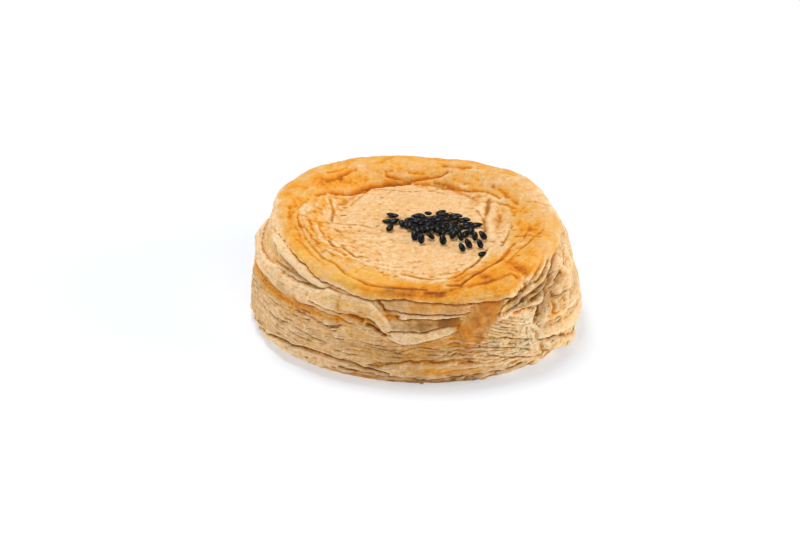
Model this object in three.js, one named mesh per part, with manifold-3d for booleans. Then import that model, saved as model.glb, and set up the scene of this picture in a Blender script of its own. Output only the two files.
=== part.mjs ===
// A flaky cheese pastry: one hand-formed round of laminated dough, dished on top and
// sprinkled with black sesame. Millimetres, +Z up. It rests on z = 0 and its front faces -Y.
// Angles round the pastry are in degrees from the front, positive towards +X.
// A level is a share of the rim's height, and a share is a share of the plan's radius.
import * as THREE from "three";
import { mergeVertices } from "three/addons/utils/BufferGeometryUtils.js";
import Module from "manifold-3d";

// Driving dimensions of the round
const HALF_WIDTH = 49.6;
const HALF_DEPTH = 44.2;
const PLAN_SKEW = 1.05; // lean of the oval plan towards front right
const RIM_HEIGHT = { front: 28.8, right: 32.7, back: 34.5, left: 34.0 };
const CREST_SHARE = 0.78; // the top of the rim
// Section of the side as [share, level]: a tucked-in foot, a leaning wall and a tight shoulder
const SIDE_SECTION = [
  [0.935, 0], [0.965, 0.02], [1.002, 0.09], [1, 0.28], [0.977, 0.5], [0.95, 0.68],
  [0.915, 0.82], [0.887, 0.92], [0.866, 0.975], [0.83, 0.995], [CREST_SHARE, 1],
];
const FOOT_LEVEL = 0.09; // where the foot meets the wall
// The edge of the flat middle of the top, as [angle, share], where the rim starts to rise
const DISC_EDGE = [
  [-180, 0.62], [-150, 0.6], [-120, 0.5], [-90, 0.42], [-45, 0.42], [0, 0.5],
  [30, 0.5], [60, 0.45], [90, 0.46], [120, 0.5], [150, 0.58], [180, 0.62],
];
const DISC_HEIGHT = 29.3;
const DISC_DOME = 0.4; // how far its centre stands above its edge

// Mesh steps
const SEGMENTS = 96;
const SIDE_STEPS = 30;
const TOP_STEPS = 13;

// Dough sheets on the side: each edge runs through [angle, level] points, stands proud by lift,
// and thins out over reach above it. The last four go round the back.
const SHEETS = [
  {
    name: "cap",
    edge: [[-180, 0.905], [-145, 0.92], [-97, 0.965], [-61, 0.98], [-42, 0.905], [-18, 0.88], [4, 0.91],
      [21, 0.86], [41, 0.805], [60, 0.86], [104, 0.92], [150, 0.91], [180, 0.905]],
    lift: 0.9,
    reach: 5,
  },
  { name: "left roll", edge: [[-80, 0.968], [-64, 0.913], [-50, 0.866], [-40, 0.85]], lift: 1.2, reach: 2 },
  { name: "left band", edge: [[-112, 0.61], [-70, 0.66], [-47, 0.61], [-30, 0.54]], lift: 1.2, reach: 4.5 },
  { name: "front ribbon", edge: [[-14, 0.8], [0, 0.8], [22, 0.78]], lift: 0.8, reach: 2.6 },
  { name: "front tape", edge: [[-12, 0.62], [0, 0.63], [18, 0.66]], lift: 0.9, reach: 3 },
  { name: "front flap", edge: [[-11, 0.5], [0, 0.52], [15, 0.6]], lift: 0.5, reach: 2.5 },
  { name: "lower seam", edge: [[-70, 0.19], [-40, 0.235], [-15, 0.18]], lift: 0.7, reach: 4 },
  { name: "lower lip", edge: [[-16, 0.15], [5, 0.14], [40, 0.12]], lift: 0.6, reach: 4 },
  { name: "right fan", edge: [[22, 0.46], [34, 0.4], [47, 0.27]], lift: 0.7, reach: 2.4 },
  { name: "right skirt", edge: [[50, 0.42], [75, 0.36], [105, 0.4]], lift: 0.5, reach: 3 },
  { name: "back band", edge: [[84, 0.64], [120, 0.68], [165, 0.62]], lift: 1.1, reach: 4 },
  { name: "back ribbon", edge: [[138, 0.44], [185, 0.4], [222, 0.46]], lift: 0.9, reach: 3.5 },
  { name: "back roll", edge: [[168, 0.76], [200, 0.8], [240, 0.74]], lift: 1.1, reach: 2.6 },
  { name: "back seam", edge: [[96, 0.22], [170, 0.19], [250, 0.24]], lift: 0.7, reach: 4 },
];
const EDGE_FADE = 5; // degrees over which a sheet's edge starts and ends
const EDGE_STEP = 0.9; // height over which an edge steps out from the dough under it
const GROOVE_SHARE = 0.7; // depth of the shadow line under an edge, as a share of its lift
const GROOVE_BELOW = 1.3;
const GROOVE_WIDTH = 1.0;

// Broad swells and hollows of the side, centred on an [angle, level] and spread in both
const SWELLS = [
  { centre: [66, 0.2], spread: [18, 0.15], lift: 1.6 },
  { centre: [92, 0.6], spread: [20, 0.22], lift: -1.4 },
  { centre: [-96, 0.8], spread: [14, 0.16], lift: -1.6 },
  { centre: [28, 0.12], spread: [22, 0.12], lift: 1.0 },
  { centre: [128, 0.97], spread: [16, 0.2], lift: 0.9 },
];

// Gathered folds where the dough was drawn together, through [angle, level] points
const FOLDS = [
  { line: [[64, 0.82], [56, 0.7], [49, 0.5]], depth: 2.2, width: 2.6 },
  { line: [[84, 0.9], [76, 0.7], [80, 0.52]], depth: 1.3, width: 2.8 },
  { line: [[45, 0.78], [42, 0.66], [45, 0.52]], depth: 0.9, width: 1.6 },
  { line: [[-24, 0.69], [-19, 0.64], [-12, 0.55]], depth: 1.3, width: 1.6 },
  { line: [[150, 0.86], [144, 0.7], [150, 0.54]], depth: 1.4, width: 2.6 },
];

// Creases of the top, through [angle, share] points, where the rim folds over the flat middle
const CREASES = [
  { line: [[-129, 0.545], [-141, 0.56], [-162, 0.59], [-180, 0.61], [-198, 0.64]], depth: 1.1, width: 1.3 },
  { line: [[169, 0.575], [149, 0.57], [131, 0.58], [111, 0.63]], depth: 1, width: 1.2 },
  { line: [[-118, 0.71], [-133, 0.66], [-142, 0.68]], depth: 1.1, width: 1.8 },
  { line: [[-75, 0.66], [-40, 0.7], [0, 0.76], [22, 0.75]], depth: 0.5, width: 1.4 },
  { line: [[107, 0.6], [72, 0.74], [60, 0.8]], depth: 0.8, width: 1.6 },
  { line: [[62, 0.63], [48, 0.75], [40, 0.84]], depth: 0.9, width: 2 },
];

// Lamination all round the side, and unevenness from rolling by hand
const LAYERS = 11;
const LAYER_LIFT = 0.28;
const LAYER_WANDER = 0.7; // in layers
const LUMP = 0.45;

// Black sesame: a heap, a loose fringe in front of it and a small tail, each oval in plan and filled evenly
const SEED = { length: 3.1, width: 1.9, thickness: 1.0, taper: 0.34 };
const SEED_LAID_IN = 0.3; // share of the thickness pressed into the crust
const SEED_SPREAD = 0.14; // share by which sizes differ
const SEED_TILT = 0.35; // radians
const PATCHES = [
  { name: "heap", centre: [7.6, -1.8], half: [10.2, 5.8], turn: -0.12, count: 32 },
  { name: "fringe", centre: [13, -11.8], half: [7.6, 2.8], turn: -0.35, count: 8 },
  { name: "tail", centre: [-6.9, 1], half: [1.7, 4.2], turn: 0, count: 5 },
];

const DOUGH = { color: 0xdcae6e, roughness: 0.8, metalness: 0 };

// Plan radius and rim height at an angle in radians, from the four named sides
function planRadius(angle) {
  const mean = (HALF_WIDTH + HALF_DEPTH) / 2;
  const oval = (HALF_DEPTH - HALF_WIDTH) / 2;
  return mean + oval * Math.cos(2 * angle) + PLAN_SKEW * Math.sin(2 * angle);
}

function rimHeight(angle) {
  const { front, right, back, left } = RIM_HEIGHT;
  const mean = (front + right + back + left) / 4;
  const along = (front - back) / 2;
  const across = (right - left) / 2;
  const saddle = (front + back - right - left) / 4;
  return mean + along * Math.cos(angle) + across * Math.sin(angle) + saddle * Math.cos(2 * angle);
}

// Height of the top: a flat middle, and a rim that rises out of a crease at the back and gently elsewhere
function topHeight(angle, share) {
  const edge = valueOnLine(DISC_EDGE, THREE.MathUtils.radToDeg(angle));
  const fromDisc = THREE.MathUtils.clamp((share - edge) / (CREST_SHARE - edge), 0, 1);
  const creased = THREE.MathUtils.smoothstep(-Math.cos(angle), 0.2, 0.9);
  const gentle = THREE.MathUtils.smoothstep(fromDisc, 0, 1);
  const rise = THREE.MathUtils.lerp(gentle, Math.sin(fromDisc * Math.PI / 2), creased);
  const dome = DISC_DOME * Math.max(0, 1 - (share / edge) ** 2);
  return THREE.MathUtils.lerp(DISC_HEIGHT, rimHeight(angle), rise) + dome;
}

// Half of the section as [share, level] points: base, side, then the top
function sectionPoints() {
  const side = new THREE.SplineCurve(SIDE_SECTION.map(([share, level]) => new THREE.Vector2(share, level)));
  const points = [new THREE.Vector2(0, 0), ...side.getSpacedPoints(SIDE_STEPS)];
  for (let step = 1; step <= TOP_STEPS; step += 1) {
    points.push(new THREE.Vector2(CREST_SHARE * (1 - step / TOP_STEPS), 1));
  }
  return points;
}

// Level, or share, of a line of [angle, value] points at an angle in degrees, or null beyond its ends
function valueOnLine(line, degrees) {
  for (let i = 0; i + 1 < line.length; i += 1) {
    const [start, from] = line[i];
    const [end, to] = line[i + 1];
    const along = (degrees - start) / (end - start);
    if (along >= 0 && along <= 1) return THREE.MathUtils.lerp(from, to, along);
  }
  return null;
}

// The same angle seen from the last turn, this one and the next, for lines that cross the back
const turnsOf = (degrees) => [degrees - 360, degrees, degrees + 360];

// How far the dough sheets raise or groove the side
function sheetRelief(degrees, level, height) {
  let relief = 0;
  for (const sheet of SHEETS) {
    const first = sheet.edge[0][0];
    const last = sheet.edge.at(-1)[0];
    const round = last - first >= 360;
    for (const turned of turnsOf(degrees)) {
      const edge = valueOnLine(sheet.edge, turned);
      if (edge === null || (round && turned === last)) continue;
      const inFromEnd = Math.min(turned - first, last - turned);
      const fade = round ? 1 : THREE.MathUtils.smoothstep(inFromEnd, 0, EDGE_FADE);
      const above = (level - edge) * height;
      const step = THREE.MathUtils.smoothstep(above, -EDGE_STEP, 0);
      const proud = step * Math.exp(-Math.max(above, 0) / sheet.reach);
      const groove = GROOVE_SHARE * Math.exp(-(((above + GROOVE_BELOW) / GROOVE_WIDTH) ** 2));
      relief += fade * sheet.lift * (proud - groove);
    }
  }
  return relief;
}

// How far a set of lines cuts in, by the distance to each line laid out flat in millimetres
function cutRelief(lines, degrees, value, millimetresPerDegree, millimetresPerUnit) {
  let relief = 0;
  const here = new THREE.Vector2();
  for (const { line, depth, width } of lines) {
    let nearest = Infinity;
    for (const turned of turnsOf(degrees)) {
      here.set(turned * millimetresPerDegree, value * millimetresPerUnit);
      for (let i = 0; i + 1 < line.length; i += 1) {
        const ends = [line[i], line[i + 1]].map(
          ([angle, at]) => new THREE.Vector3(angle * millimetresPerDegree, at * millimetresPerUnit, 0));
        const onLine = new THREE.Line3(...ends).closestPointToPoint(
          new THREE.Vector3(here.x, here.y, 0), true, new THREE.Vector3());
        nearest = Math.min(nearest, Math.hypot(onLine.x - here.x, onLine.y - here.y));
      }
    }
    relief -= depth * Math.exp(-((nearest / width) ** 2));
  }
  return relief;
}

// Saw-tooth lamination: each layer's lower edge stands out a little over the one below
function layerRelief(angle, level) {
  const wander = LAYER_WANDER * (Math.sin(3 * angle + 1) + Math.sin(5 * angle + 4 * level));
  const within = THREE.MathUtils.euclideanModulo(level * LAYERS + wander, 1);
  const strength = 0.6 + 0.4 * Math.sin(4 * angle + 7 * level);
  return LAYER_LIFT * strength * (1 - 2 * within);
}

function swellRelief(degrees, level) {
  let relief = 0;
  for (const { centre, spread, lift } of SWELLS) {
    const across = (degrees - centre[0]) / spread[0];
    const up = (level - centre[1]) / spread[1];
    relief += lift * Math.exp(-(across ** 2) - up ** 2);
  }
  return relief;
}

function lumpRelief(angle, level) {
  return LUMP * Math.sin(7 * angle + 5 * level) * Math.sin(3 * angle - 4 * level + 2);
}

function sideRelief(angle, level) {
  const degrees = THREE.MathUtils.radToDeg(angle);
  const height = rimHeight(angle);
  const perDegree = THREE.MathUtils.degToRad(planRadius(angle));
  const inFromBase = THREE.MathUtils.smoothstep(level, 0, FOOT_LEVEL);
  const layered = layerRelief(angle, level) * (1 - THREE.MathUtils.smoothstep(level, 0.8, 0.95));
  const folded = cutRelief(FOLDS, degrees, level, perDegree, height);
  const broad = swellRelief(degrees, level) + lumpRelief(angle, level);
  return inFromBase * (sheetRelief(degrees, level, height) + folded + layered + broad);
}

function topRelief(angle, share) {
  const degrees = THREE.MathUtils.radToDeg(angle);
  const radius = planRadius(angle);
  const perDegree = THREE.MathUtils.degToRad(radius * share);
  const atRim = THREE.MathUtils.smoothstep(share, valueOnLine(DISC_EDGE, degrees), CREST_SHARE);
  const rim = sheetRelief(degrees, 1, rimHeight(angle)) + swellRelief(degrees, 1) + lumpRelief(angle, 1);
  return cutRelief(CREASES, degrees, share, perDegree, radius) + atRim * rim;
}

// The round of dough: a turned section, set to the plan and rim, then given its relief
function doughGeometry() {
  const turned = new THREE.LatheGeometry(sectionPoints(), SEGMENTS);
  turned.deleteAttribute("normal");
  turned.deleteAttribute("uv");
  const dough = mergeVertices(turned);
  const position = dough.getAttribute("position");
  const relief = [];
  for (let i = 0; i < position.count; i += 1) {
    const angle = Math.atan2(position.getX(i), position.getZ(i));
    const share = Math.hypot(position.getX(i), position.getZ(i));
    const level = position.getY(i);
    const onTop = level > FOOT_LEVEL && share <= CREST_SHARE;
    const radius = share * planRadius(angle);
    const height = onTop ? topHeight(angle, share) : level * rimHeight(angle);
    position.setXYZ(i, radius * Math.sin(angle), -radius * Math.cos(angle), height);
    relief.push(onTop ? topRelief(angle, share) : sideRelief(angle, level));
  }
  dough.computeVertexNormals();
  const normal = dough.getAttribute("normal");
  const point = new THREE.Vector3();
  const outward = new THREE.Vector3();
  for (let i = 0; i < position.count; i += 1) {
    point.fromBufferAttribute(position, i);
    outward.fromBufferAttribute(normal, i);
    point.addScaledVector(outward, relief[i]);
    position.setXYZ(i, point.x, point.y, Math.max(point.z, 0));
  }
  dough.deleteAttribute("normal");
  return dough;
}

// One seed lying along X: a flattened ball drawn to a point at one end
function seedGeometry() {
  const seed = new THREE.SphereGeometry(0.5, 5, 4);
  seed.deleteAttribute("normal");
  seed.deleteAttribute("uv");
  seed.rotateZ(Math.PI / 2);
  const position = seed.getAttribute("position");
  for (let i = 0; i < position.count; i += 1) {
    const along = position.getX(i);
    const slim = 1 - SEED.taper * (1 + 2 * along) / 2;
    position.setXYZ(
      i,
      along * SEED.length,
      position.getY(i) * SEED.width * slim,
      position.getZ(i) * SEED.thickness * slim,
    );
  }
  return mergeVertices(seed);
}

// Draws between 0 and 1 that never repeat: the nth multiple of a root of a prime, by column
const PRIMES = [2, 3, 7];
const draw = (n, column) => (n * Math.sqrt(PRIMES[column])) % 1;
const GOLDEN_ANGLE = Math.PI * (3 - Math.sqrt(5));

// Where each seed lies: place in plan, heading, tilt and size
function seedPlacements() {
  const placements = [];
  for (const { centre, half, turn, count } of PATCHES) {
    for (let n = 1; n <= count; n += 1) {
      const out = Math.sqrt(n / count);
      const round = n * GOLDEN_ANGLE;
      const place = new THREE.Vector2(half[0] * out * Math.cos(round), half[1] * out * Math.sin(round));
      place.rotateAround(new THREE.Vector2(), turn).add(new THREE.Vector2(...centre));
      placements.push({
        place,
        heading: 2 * Math.PI * draw(n, 0),
        tilt: SEED_TILT * (2 * draw(n, 1) - 1),
        size: 1 + SEED_SPREAD * (2 * draw(n, 2) - 1),
      });
    }
  }
  return placements;
}

const wasm = await Module();
wasm.setup();

function solidOf(geometry) {
  const mesh = new wasm.Mesh({
    numProp: 3,
    vertProperties: geometry.getAttribute("position").array,
    triVerts: new Uint32Array(geometry.index.array),
  });
  return new wasm.Manifold(mesh);
}

function geometryOf(solid) {
  const mesh = solid.getMesh();
  return new THREE.BufferGeometry()
    .setAttribute("position", new THREE.BufferAttribute(mesh.vertProperties, 3))
    .setIndex(new THREE.BufferAttribute(mesh.triVerts, 1));
}

// The dough with every seed fused where it lies
function seededSolid() {
  let solid = solidOf(doughGeometry());
  const seed = seedGeometry();
  for (const { place, heading, tilt, size } of seedPlacements()) {
    const angle = Math.atan2(place.x, -place.y);
    const share = place.length() / planRadius(angle);
    const rest = topHeight(angle, share) + SEED.thickness * (0.5 - SEED_LAID_IN);
    const laid = seed.clone().scale(size, size, size).rotateY(tilt).rotateZ(heading);
    solid = solid.add(solidOf(laid.translate(place.x, place.y, rest)));
  }
  return solid;
}

const pastry = new THREE.Mesh(geometryOf(seededSolid()), new THREE.MeshStandardMaterial(DOUGH));
pastry.name = "pastry";
pastry.geometry.computeVertexNormals();

const part = new THREE.Group();
part.add(pastry);

export default part;
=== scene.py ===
import math

import bpy
import numpy as np
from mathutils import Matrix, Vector, noise


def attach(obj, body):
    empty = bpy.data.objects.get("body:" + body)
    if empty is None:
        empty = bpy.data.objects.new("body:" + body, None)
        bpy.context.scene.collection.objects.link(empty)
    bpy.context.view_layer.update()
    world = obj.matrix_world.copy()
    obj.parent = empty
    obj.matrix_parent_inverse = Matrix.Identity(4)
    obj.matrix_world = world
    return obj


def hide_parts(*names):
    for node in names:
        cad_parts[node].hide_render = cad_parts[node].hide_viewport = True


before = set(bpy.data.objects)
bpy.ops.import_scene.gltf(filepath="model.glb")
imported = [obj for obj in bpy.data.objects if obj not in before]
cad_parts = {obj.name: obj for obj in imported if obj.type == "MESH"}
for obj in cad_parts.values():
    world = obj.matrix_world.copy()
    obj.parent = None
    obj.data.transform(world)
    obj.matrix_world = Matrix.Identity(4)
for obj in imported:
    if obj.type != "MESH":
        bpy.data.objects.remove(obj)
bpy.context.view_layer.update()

# The pastry: one round of laminated dough, gathered by hand into a puck, egg-washed on top and baked whole.
# Its sheets, rolls and ribbons overlap down the side and its rim folds over a flat middle.
# Lengths in this section are millimetres. Angles are degrees from the front, positive towards +X.

# The round's main sizes, as in the solid
HALF_WIDTH, HALF_DEPTH = 49.6, 44.2
PLAN_SKEW = 1.05
RIM_FRONT, RIM_RIGHT, RIM_BACK, RIM_LEFT = 28.8, 32.7, 34.5, 34.0
CREST_SHARE = 0.78  # share of the plan radius that the rim's crest lies at
DISC_HEIGHT, DISC_DOME = 29.3, 0.4
MEAN_RADIUS = (HALF_WIDTH + HALF_DEPTH) / 2
MEAN_HEIGHT = (RIM_FRONT + RIM_RIGHT + RIM_BACK + RIM_LEFT) / 4

# Section of the side, as (level, share of the plan radius): tucked-in foot, leaning wall, tight shoulder
SIDE_SECTION = [(0.0, 0.935), (0.02, 0.965), (0.09, 1.002), (0.28, 1.0), (0.5, 0.977), (0.68, 0.95),
                (0.82, 0.915), (0.92, 0.887), (0.975, 0.866), (0.995, 0.83), (1.0, CREST_SHARE)]
SECTION_STEPS = 600
SHOULDER_ROUND = 1.6  # millimetres of the section that its corners are rounded over

# Fineness of the mesh
COLUMNS = 520
SIDE_ROWS = 150
TOP_RINGS = COLUMNS // 8
BASE_SHARES = (0.5, 0.8)


def plan_radius(angle):
    """Radius of the oval plan at an angle in radians."""
    oval = (HALF_DEPTH - HALF_WIDTH) / 2
    return MEAN_RADIUS + oval * np.cos(2 * angle) + PLAN_SKEW * np.sin(2 * angle)


def rim_height(angle):
    """Height of the rim's crest at an angle in radians."""
    saddle = (RIM_FRONT + RIM_BACK - RIM_RIGHT - RIM_LEFT) / 4
    lean = (RIM_FRONT - RIM_BACK) / 2 * np.cos(angle) + (RIM_RIGHT - RIM_LEFT) / 2 * np.sin(angle)
    return MEAN_HEIGHT + lean + saddle * np.cos(2 * angle)


def way_along(levels, shares):
    """Millimetres along a section from its first point to each of its points."""
    return np.r_[0, np.cumsum(np.hypot(np.diff(shares) * MEAN_RADIUS, np.diff(levels) * MEAN_HEIGHT))]


def rounded_section():
    """The section as evenly spaced levels and shares with its corners rounded, and the way up along it."""
    levels, shares = np.array(SIDE_SECTION).T
    way = way_along(levels, shares)
    even = np.linspace(0, way[-1], SECTION_STEPS)
    half = max(1, int(SHOULDER_ROUND / way[-1] * SECTION_STEPS / 2))
    window = np.ones(2 * half + 1) / (2 * half + 1)
    rounded = []
    for values in (levels, shares):
        spread = np.interp(even, way, values)
        before = 2 * spread[0] - spread[half:0:-1]
        after = 2 * spread[-1] - spread[-2:-half - 2:-1]
        rounded.append(np.convolve(np.r_[before, spread, after], window, "valid"))
    return rounded[0], rounded[1], way_along(rounded[0], rounded[1])


section_level, section_share, section_way = rounded_section()
section_out = np.gradient(section_level) * MEAN_HEIGHT
section_up = -np.gradient(section_share) * MEAN_RADIUS


def way_up(level):
    """Millimetres up along the side from the edge of the base to a level."""
    return np.interp(level, section_level, section_way)


def smooth_step(value, low, high):
    """0 at one value and 1 at another, with an even S between them."""
    t = np.clip((value - low) / (high - low), 0, 1)
    return t * t * (3 - 2 * t)


def bell(away, width):
    """1 at no distance, falling evenly to about a third at one width."""
    return np.exp(-((away / width) ** 2))


CORNER_ROUND = 2.0  # degrees to each side over which the corners of a line are rounded


def along(line, degrees):
    """Value of a line of (angle, value) points at angles in degrees, with its corners rounded."""
    angles, values = np.array(line, float).T
    spread = np.linspace(-CORNER_ROUND, CORNER_ROUND, 5)
    return np.mean([np.interp(degrees + s, angles, values) for s in spread], axis=0)


def fractal(points, size, octaves=3):
    """Cloudy unevenness from about -1 to 1, with lumps of a given size in millimetres.

    A number added to the points draws it from another part of the noise.
    """
    scaled = (np.asarray(points) / size).reshape(-1, 3)
    values = [noise.fractal(Vector(p), 1.0, 2.0, octaves) for p in scaled]
    return np.array(values).reshape(np.asarray(points).shape[:-1])


def crinkled(points, size, octaves=3):
    """Sharp-ridged unevenness from about -1 to 1, like a skin that dried and drew together."""
    scaled = (np.asarray(points) / size).reshape(-1, 3)
    values = [noise.ridged_multi_fractal(Vector(p), 0.9, 2.1, octaves, 1.0, 2.0) for p in scaled]
    return np.array(values).reshape(np.asarray(points).shape[:-1]) - 1.0


def distance_to(line, across, up):
    """Distance from points to a broken line."""
    nearest = np.full(np.shape(across), np.inf)
    for (x0, y0), (x1, y1) in zip(line, line[1:]):
        dx, dy = x1 - x0, y1 - y0
        t = np.clip(((across - x0) * dx + (up - y0) * dy) / (dx * dx + dy * dy), 0, 1)
        nearest = np.minimum(np.hypot(across - x0 - t * dx, up - y0 - t * dy), nearest)
    return nearest


def dough_strap(name, low, high, lift, tuck, hang, bulge, ends,
                bake=(0, 0), shade_along=(0, 0), painted_shade=0.6, top_highlight=0.0):
    """One strap of dough on the side, between a lower and an upper edge of (angle, level) points.

    It stands proud by lift at its lower edge and by tuck at its upper one, hangs over what is below by hang,
    bulges between its edges by bulge and thins out over the angles in ends. Its bake and the painted shade
    laid over it run from its first end to its last. It also takes how dark the painted shade in the line
    under it is, and how strong the painted highlight along its upper edge is.
    """
    return {"name": name, "low": low, "high": high, "lift": lift, "tuck": tuck, "hang": hang, "bulge": bulge,
            "ends": ends, "bake": bake, "shade_along": shade_along, "painted_shade": painted_shade, "top_highlight": top_highlight}


# The straps: the cap that the rim folds over in, then the sheets, rolls and ribbons below it round the side
CAP_EDGE = [(-97, 0.965), (-83, 0.983), (-61, 0.983), (-51, 0.954), (-42, 0.905), (-33, 0.91), (-27, 0.893),
            (-18.4, 0.878), (-13.8, 0.895), (-12.6, 0.909), (-5, 0.916), (4, 0.909), (12.4, 0.88),
            (21, 0.86), (29, 0.844), (34, 0.828), (41, 0.805), (48, 0.82)]
STRAPS = [
    dough_strap("cap", CAP_EDGE,
                [(a, v + 0.2) for a, v in CAP_EDGE],
                0.9, 0.0, 0.45, 0.0, (75, 9), painted_shade=[(-97, 0.0), (-62, 0.1), (-46, 0.15), (-32, 0.2),
                (-24, 0.45), (-14, 0.6), (48, 0.55)]),
    dough_strap("left roll", [(-80, 0.968), (-74, 0.95), (-64, 0.913), (-55, 0.883), (-50, 0.866),
                              (-43, 0.849), (-37, 0.872)],
                [(-80, 0.99), (-61, 0.981), (-51, 0.95), (-42, 0.9), (-37, 0.9)],
                1.2, 0.4, 0.7, 0.5, (9, 3), bake=(-0.06, -0.06), painted_shade=0.5),
    dough_strap("left band", [(-112, 0.61), (-85, 0.65), (-70, 0.66), (-60, 0.645), (-54, 0.63),
                              (-47, 0.61), (-42, 0.6), (-38, 0.575), (-31, 0.54)],
                [(-112, 0.72), (-85, 0.74), (-75, 0.75), (-65, 0.78), (-57, 0.79), (-45, 0.82),
                 (-39.4, 0.865), (-31, 0.86)],
                1.1, 0.8, 0.5, 0.3, (12, 5), bake=(-0.08, -0.08), painted_shade=[(-112, 0.15), (-75, 0.2),
                (-60, 0.5), (-45, 0.85), (-31, 0.7)], top_highlight=1.0),
    dough_strap("torn layer", [(-52, 0.672), (-44, 0.668), (-37, 0.661), (-32.6, 0.655), (-28.8, 0.63),
                               (-25, 0.61)],
                [(-52, 0.74), (-37, 0.74), (-28.8, 0.7), (-25, 0.68)],
                0.6, 0.0, 0.3, 0.0, (5, 2), painted_shade=0.8),
    dough_strap("flap", [(-46, 0.71), (-37, 0.697), (-31, 0.697), (-25.8, 0.708), (-22, 0.705),
                         (-18.8, 0.715), (-16.2, 0.68), (-14, 0.618), (-11.6, 0.585), (-8, 0.56)],
                [(-46, 0.82), (-39, 0.865), (-27, 0.862), (-22, 0.862), (-18, 0.84), (-16.2, 0.823),
                 (-13.8, 0.765), (-11.2, 0.715), (-8, 0.66)],
                0.8, 0.45, 0.4, 0.25, (8, 3), bake=(0.0, -0.1), painted_shade=[(-46, 0.2), (-30, 0.3), (-20, 0.5),
                (-15, 0.9), (-8, 0.9)], top_highlight=0.5),
    dough_strap("front ribbon", [(-12.8, 0.805), (-10.8, 0.8), (-8.4, 0.815), (-5.2, 0.81), (-2.4, 0.796),
                                 (4, 0.799), (9.4, 0.777), (23, 0.772)],
                [(-12.8, 0.905), (-5, 0.912), (4, 0.905), (12.4, 0.875), (23, 0.852)],
                0.9, 0.3, 0.35, 0.0, (0.6, 4), bake=(0.0, 0.04), shade_along=(0.42, 0.5), painted_shade=1.0, top_highlight=0.6),
    dough_strap("front tape", [(-12, 0.606), (-6.4, 0.619), (-2, 0.619), (3, 0.622), (6.8, 0.644),
                               (11.6, 0.658), (17.6, 0.668)],
                [(-12, 0.695), (-2, 0.721), (11.8, 0.729), (17.6, 0.735)],
                0.65, 0.25, 0.2, 0.0, (2, 0.6), bake=(-0.13, -0.18), shade_along=(0.15, 1.4), painted_shade=1.0),
    dough_strap("middle ribbon", [(-8, 0.735), (0, 0.736), (8, 0.737), (16, 0.738), (19, 0.742)],
                [(-8, 0.79), (0, 0.786), (9, 0.77), (19, 0.766)],
                0.4, 0.2, 0.1, 0.1, (3, 3), bake=(-0.16, -0.14), painted_shade=0.3),
    dough_strap("front flap", [(-11, 0.53), (-9.4, 0.517), (-5, 0.485), (-0.6, 0.489), (3.8, 0.523),
                               (11.6, 0.579), (17, 0.605)],
                [(-11, 0.595), (-6, 0.612), (3, 0.615), (11.6, 0.65), (17, 0.66)],
                0.85, 0.2, 0.2, 0.35, (2, 3), bake=(-0.26, -0.18), painted_shade=0.4),
    dough_strap("left foot", [(-80, 0.05), (-40, 0.085), (-17, 0.09)],
                [(-80, 0.09), (-66, 0.11), (-59, 0.15), (-40, 0.205), (-27, 0.2), (-17, 0.155)],
                0.3, 0.2, 0.1, 0.5, (14, 6)),
    dough_strap("front lip", [(-16, 0.115), (-5, 0.135), (0, 0.12), (18, 0.125), (42, 0.08)],
                [(-16, 0.18), (-8, 0.262), (0, 0.28), (10, 0.285), (22, 0.25), (32, 0.2), (42, 0.13)],
                0.4, 0.3, 0.15, 0.5, (2, 8), painted_shade=0.5),
    dough_strap("right tuft", [(49, 0.175), (52.4, 0.165), (58, 0.12), (65, 0.067), (73, 0.05)],
                [(49, 0.275), (53.8, 0.25), (60, 0.195), (66, 0.13), (73, 0.09)],
                1.6, 1.0, 0.2, 0.2, (3, 5)),
    dough_strap("low puff", [(47.4, 0.3), (54.6, 0.28), (62, 0.24), (70, 0.2), (85, 0.18), (99, 0.2)],
                [(47.4, 0.409), (54.6, 0.366), (62, 0.34), (70, 0.31), (85, 0.3), (99, 0.3)],
                0.6, 0.2, 0.25, 0.4, (3, 8)),
    dough_strap("middle puff", [(48, 0.437), (55, 0.426), (62, 0.411), (72, 0.36), (85, 0.33), (99, 0.36)],
                [(48, 0.5), (55, 0.56), (62, 0.6), (72, 0.62), (85, 0.6), (99, 0.55)],
                0.7, 0.1, 0.25, 0.5, (3, 8)),
    dough_strap("upper puff", [(59, 0.62), (67, 0.57), (80, 0.57), (99, 0.62)],
                [(59, 0.7), (67, 0.73), (80, 0.81), (99, 0.8)],
                0.5, 0.0, 0.25, 0.7, (4, 8)),
    dough_strap("back cap", [(104, 0.92), (125, 0.935), (150, 0.91), (180, 0.905), (215, 0.92),
                             (250, 0.955), (270, 0.97)],
                [(104, 1.1), (270, 1.1)],
                0.7, 0.0, 0.4, 0.0, (12, 14)),
    dough_strap("back band", [(92, 0.6), (120, 0.66), (150, 0.62), (172, 0.6)],
                [(92, 0.76), (120, 0.82), (150, 0.8), (172, 0.74)],
                1.0, 0.7, 0.45, 0.4, (8, 3)),
    dough_strap("back roll", [(164, 0.81), (190, 0.84), (225, 0.8), (250, 0.86)],
                [(164, 0.89), (190, 0.905), (225, 0.915), (250, 0.95)],
                1.0, 0.5, 0.6, 0.5, (5, 8)),
    dough_strap("back tuck", [(160, 0.58), (190, 0.6), (215, 0.55), (238, 0.57)],
                [(160, 0.72), (190, 0.74), (215, 0.72), (238, 0.7)],
                0.8, 0.2, 0.4, 0.2, (2, 6)),
    dough_strap("back ribbon", [(126, 0.4), (160, 0.37), (190, 0.4), (222, 0.36)],
                [(126, 0.5), (160, 0.52), (190, 0.5), (222, 0.48)],
                0.7, 0.3, 0.35, 0.0, (4, 5)),
]
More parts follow.
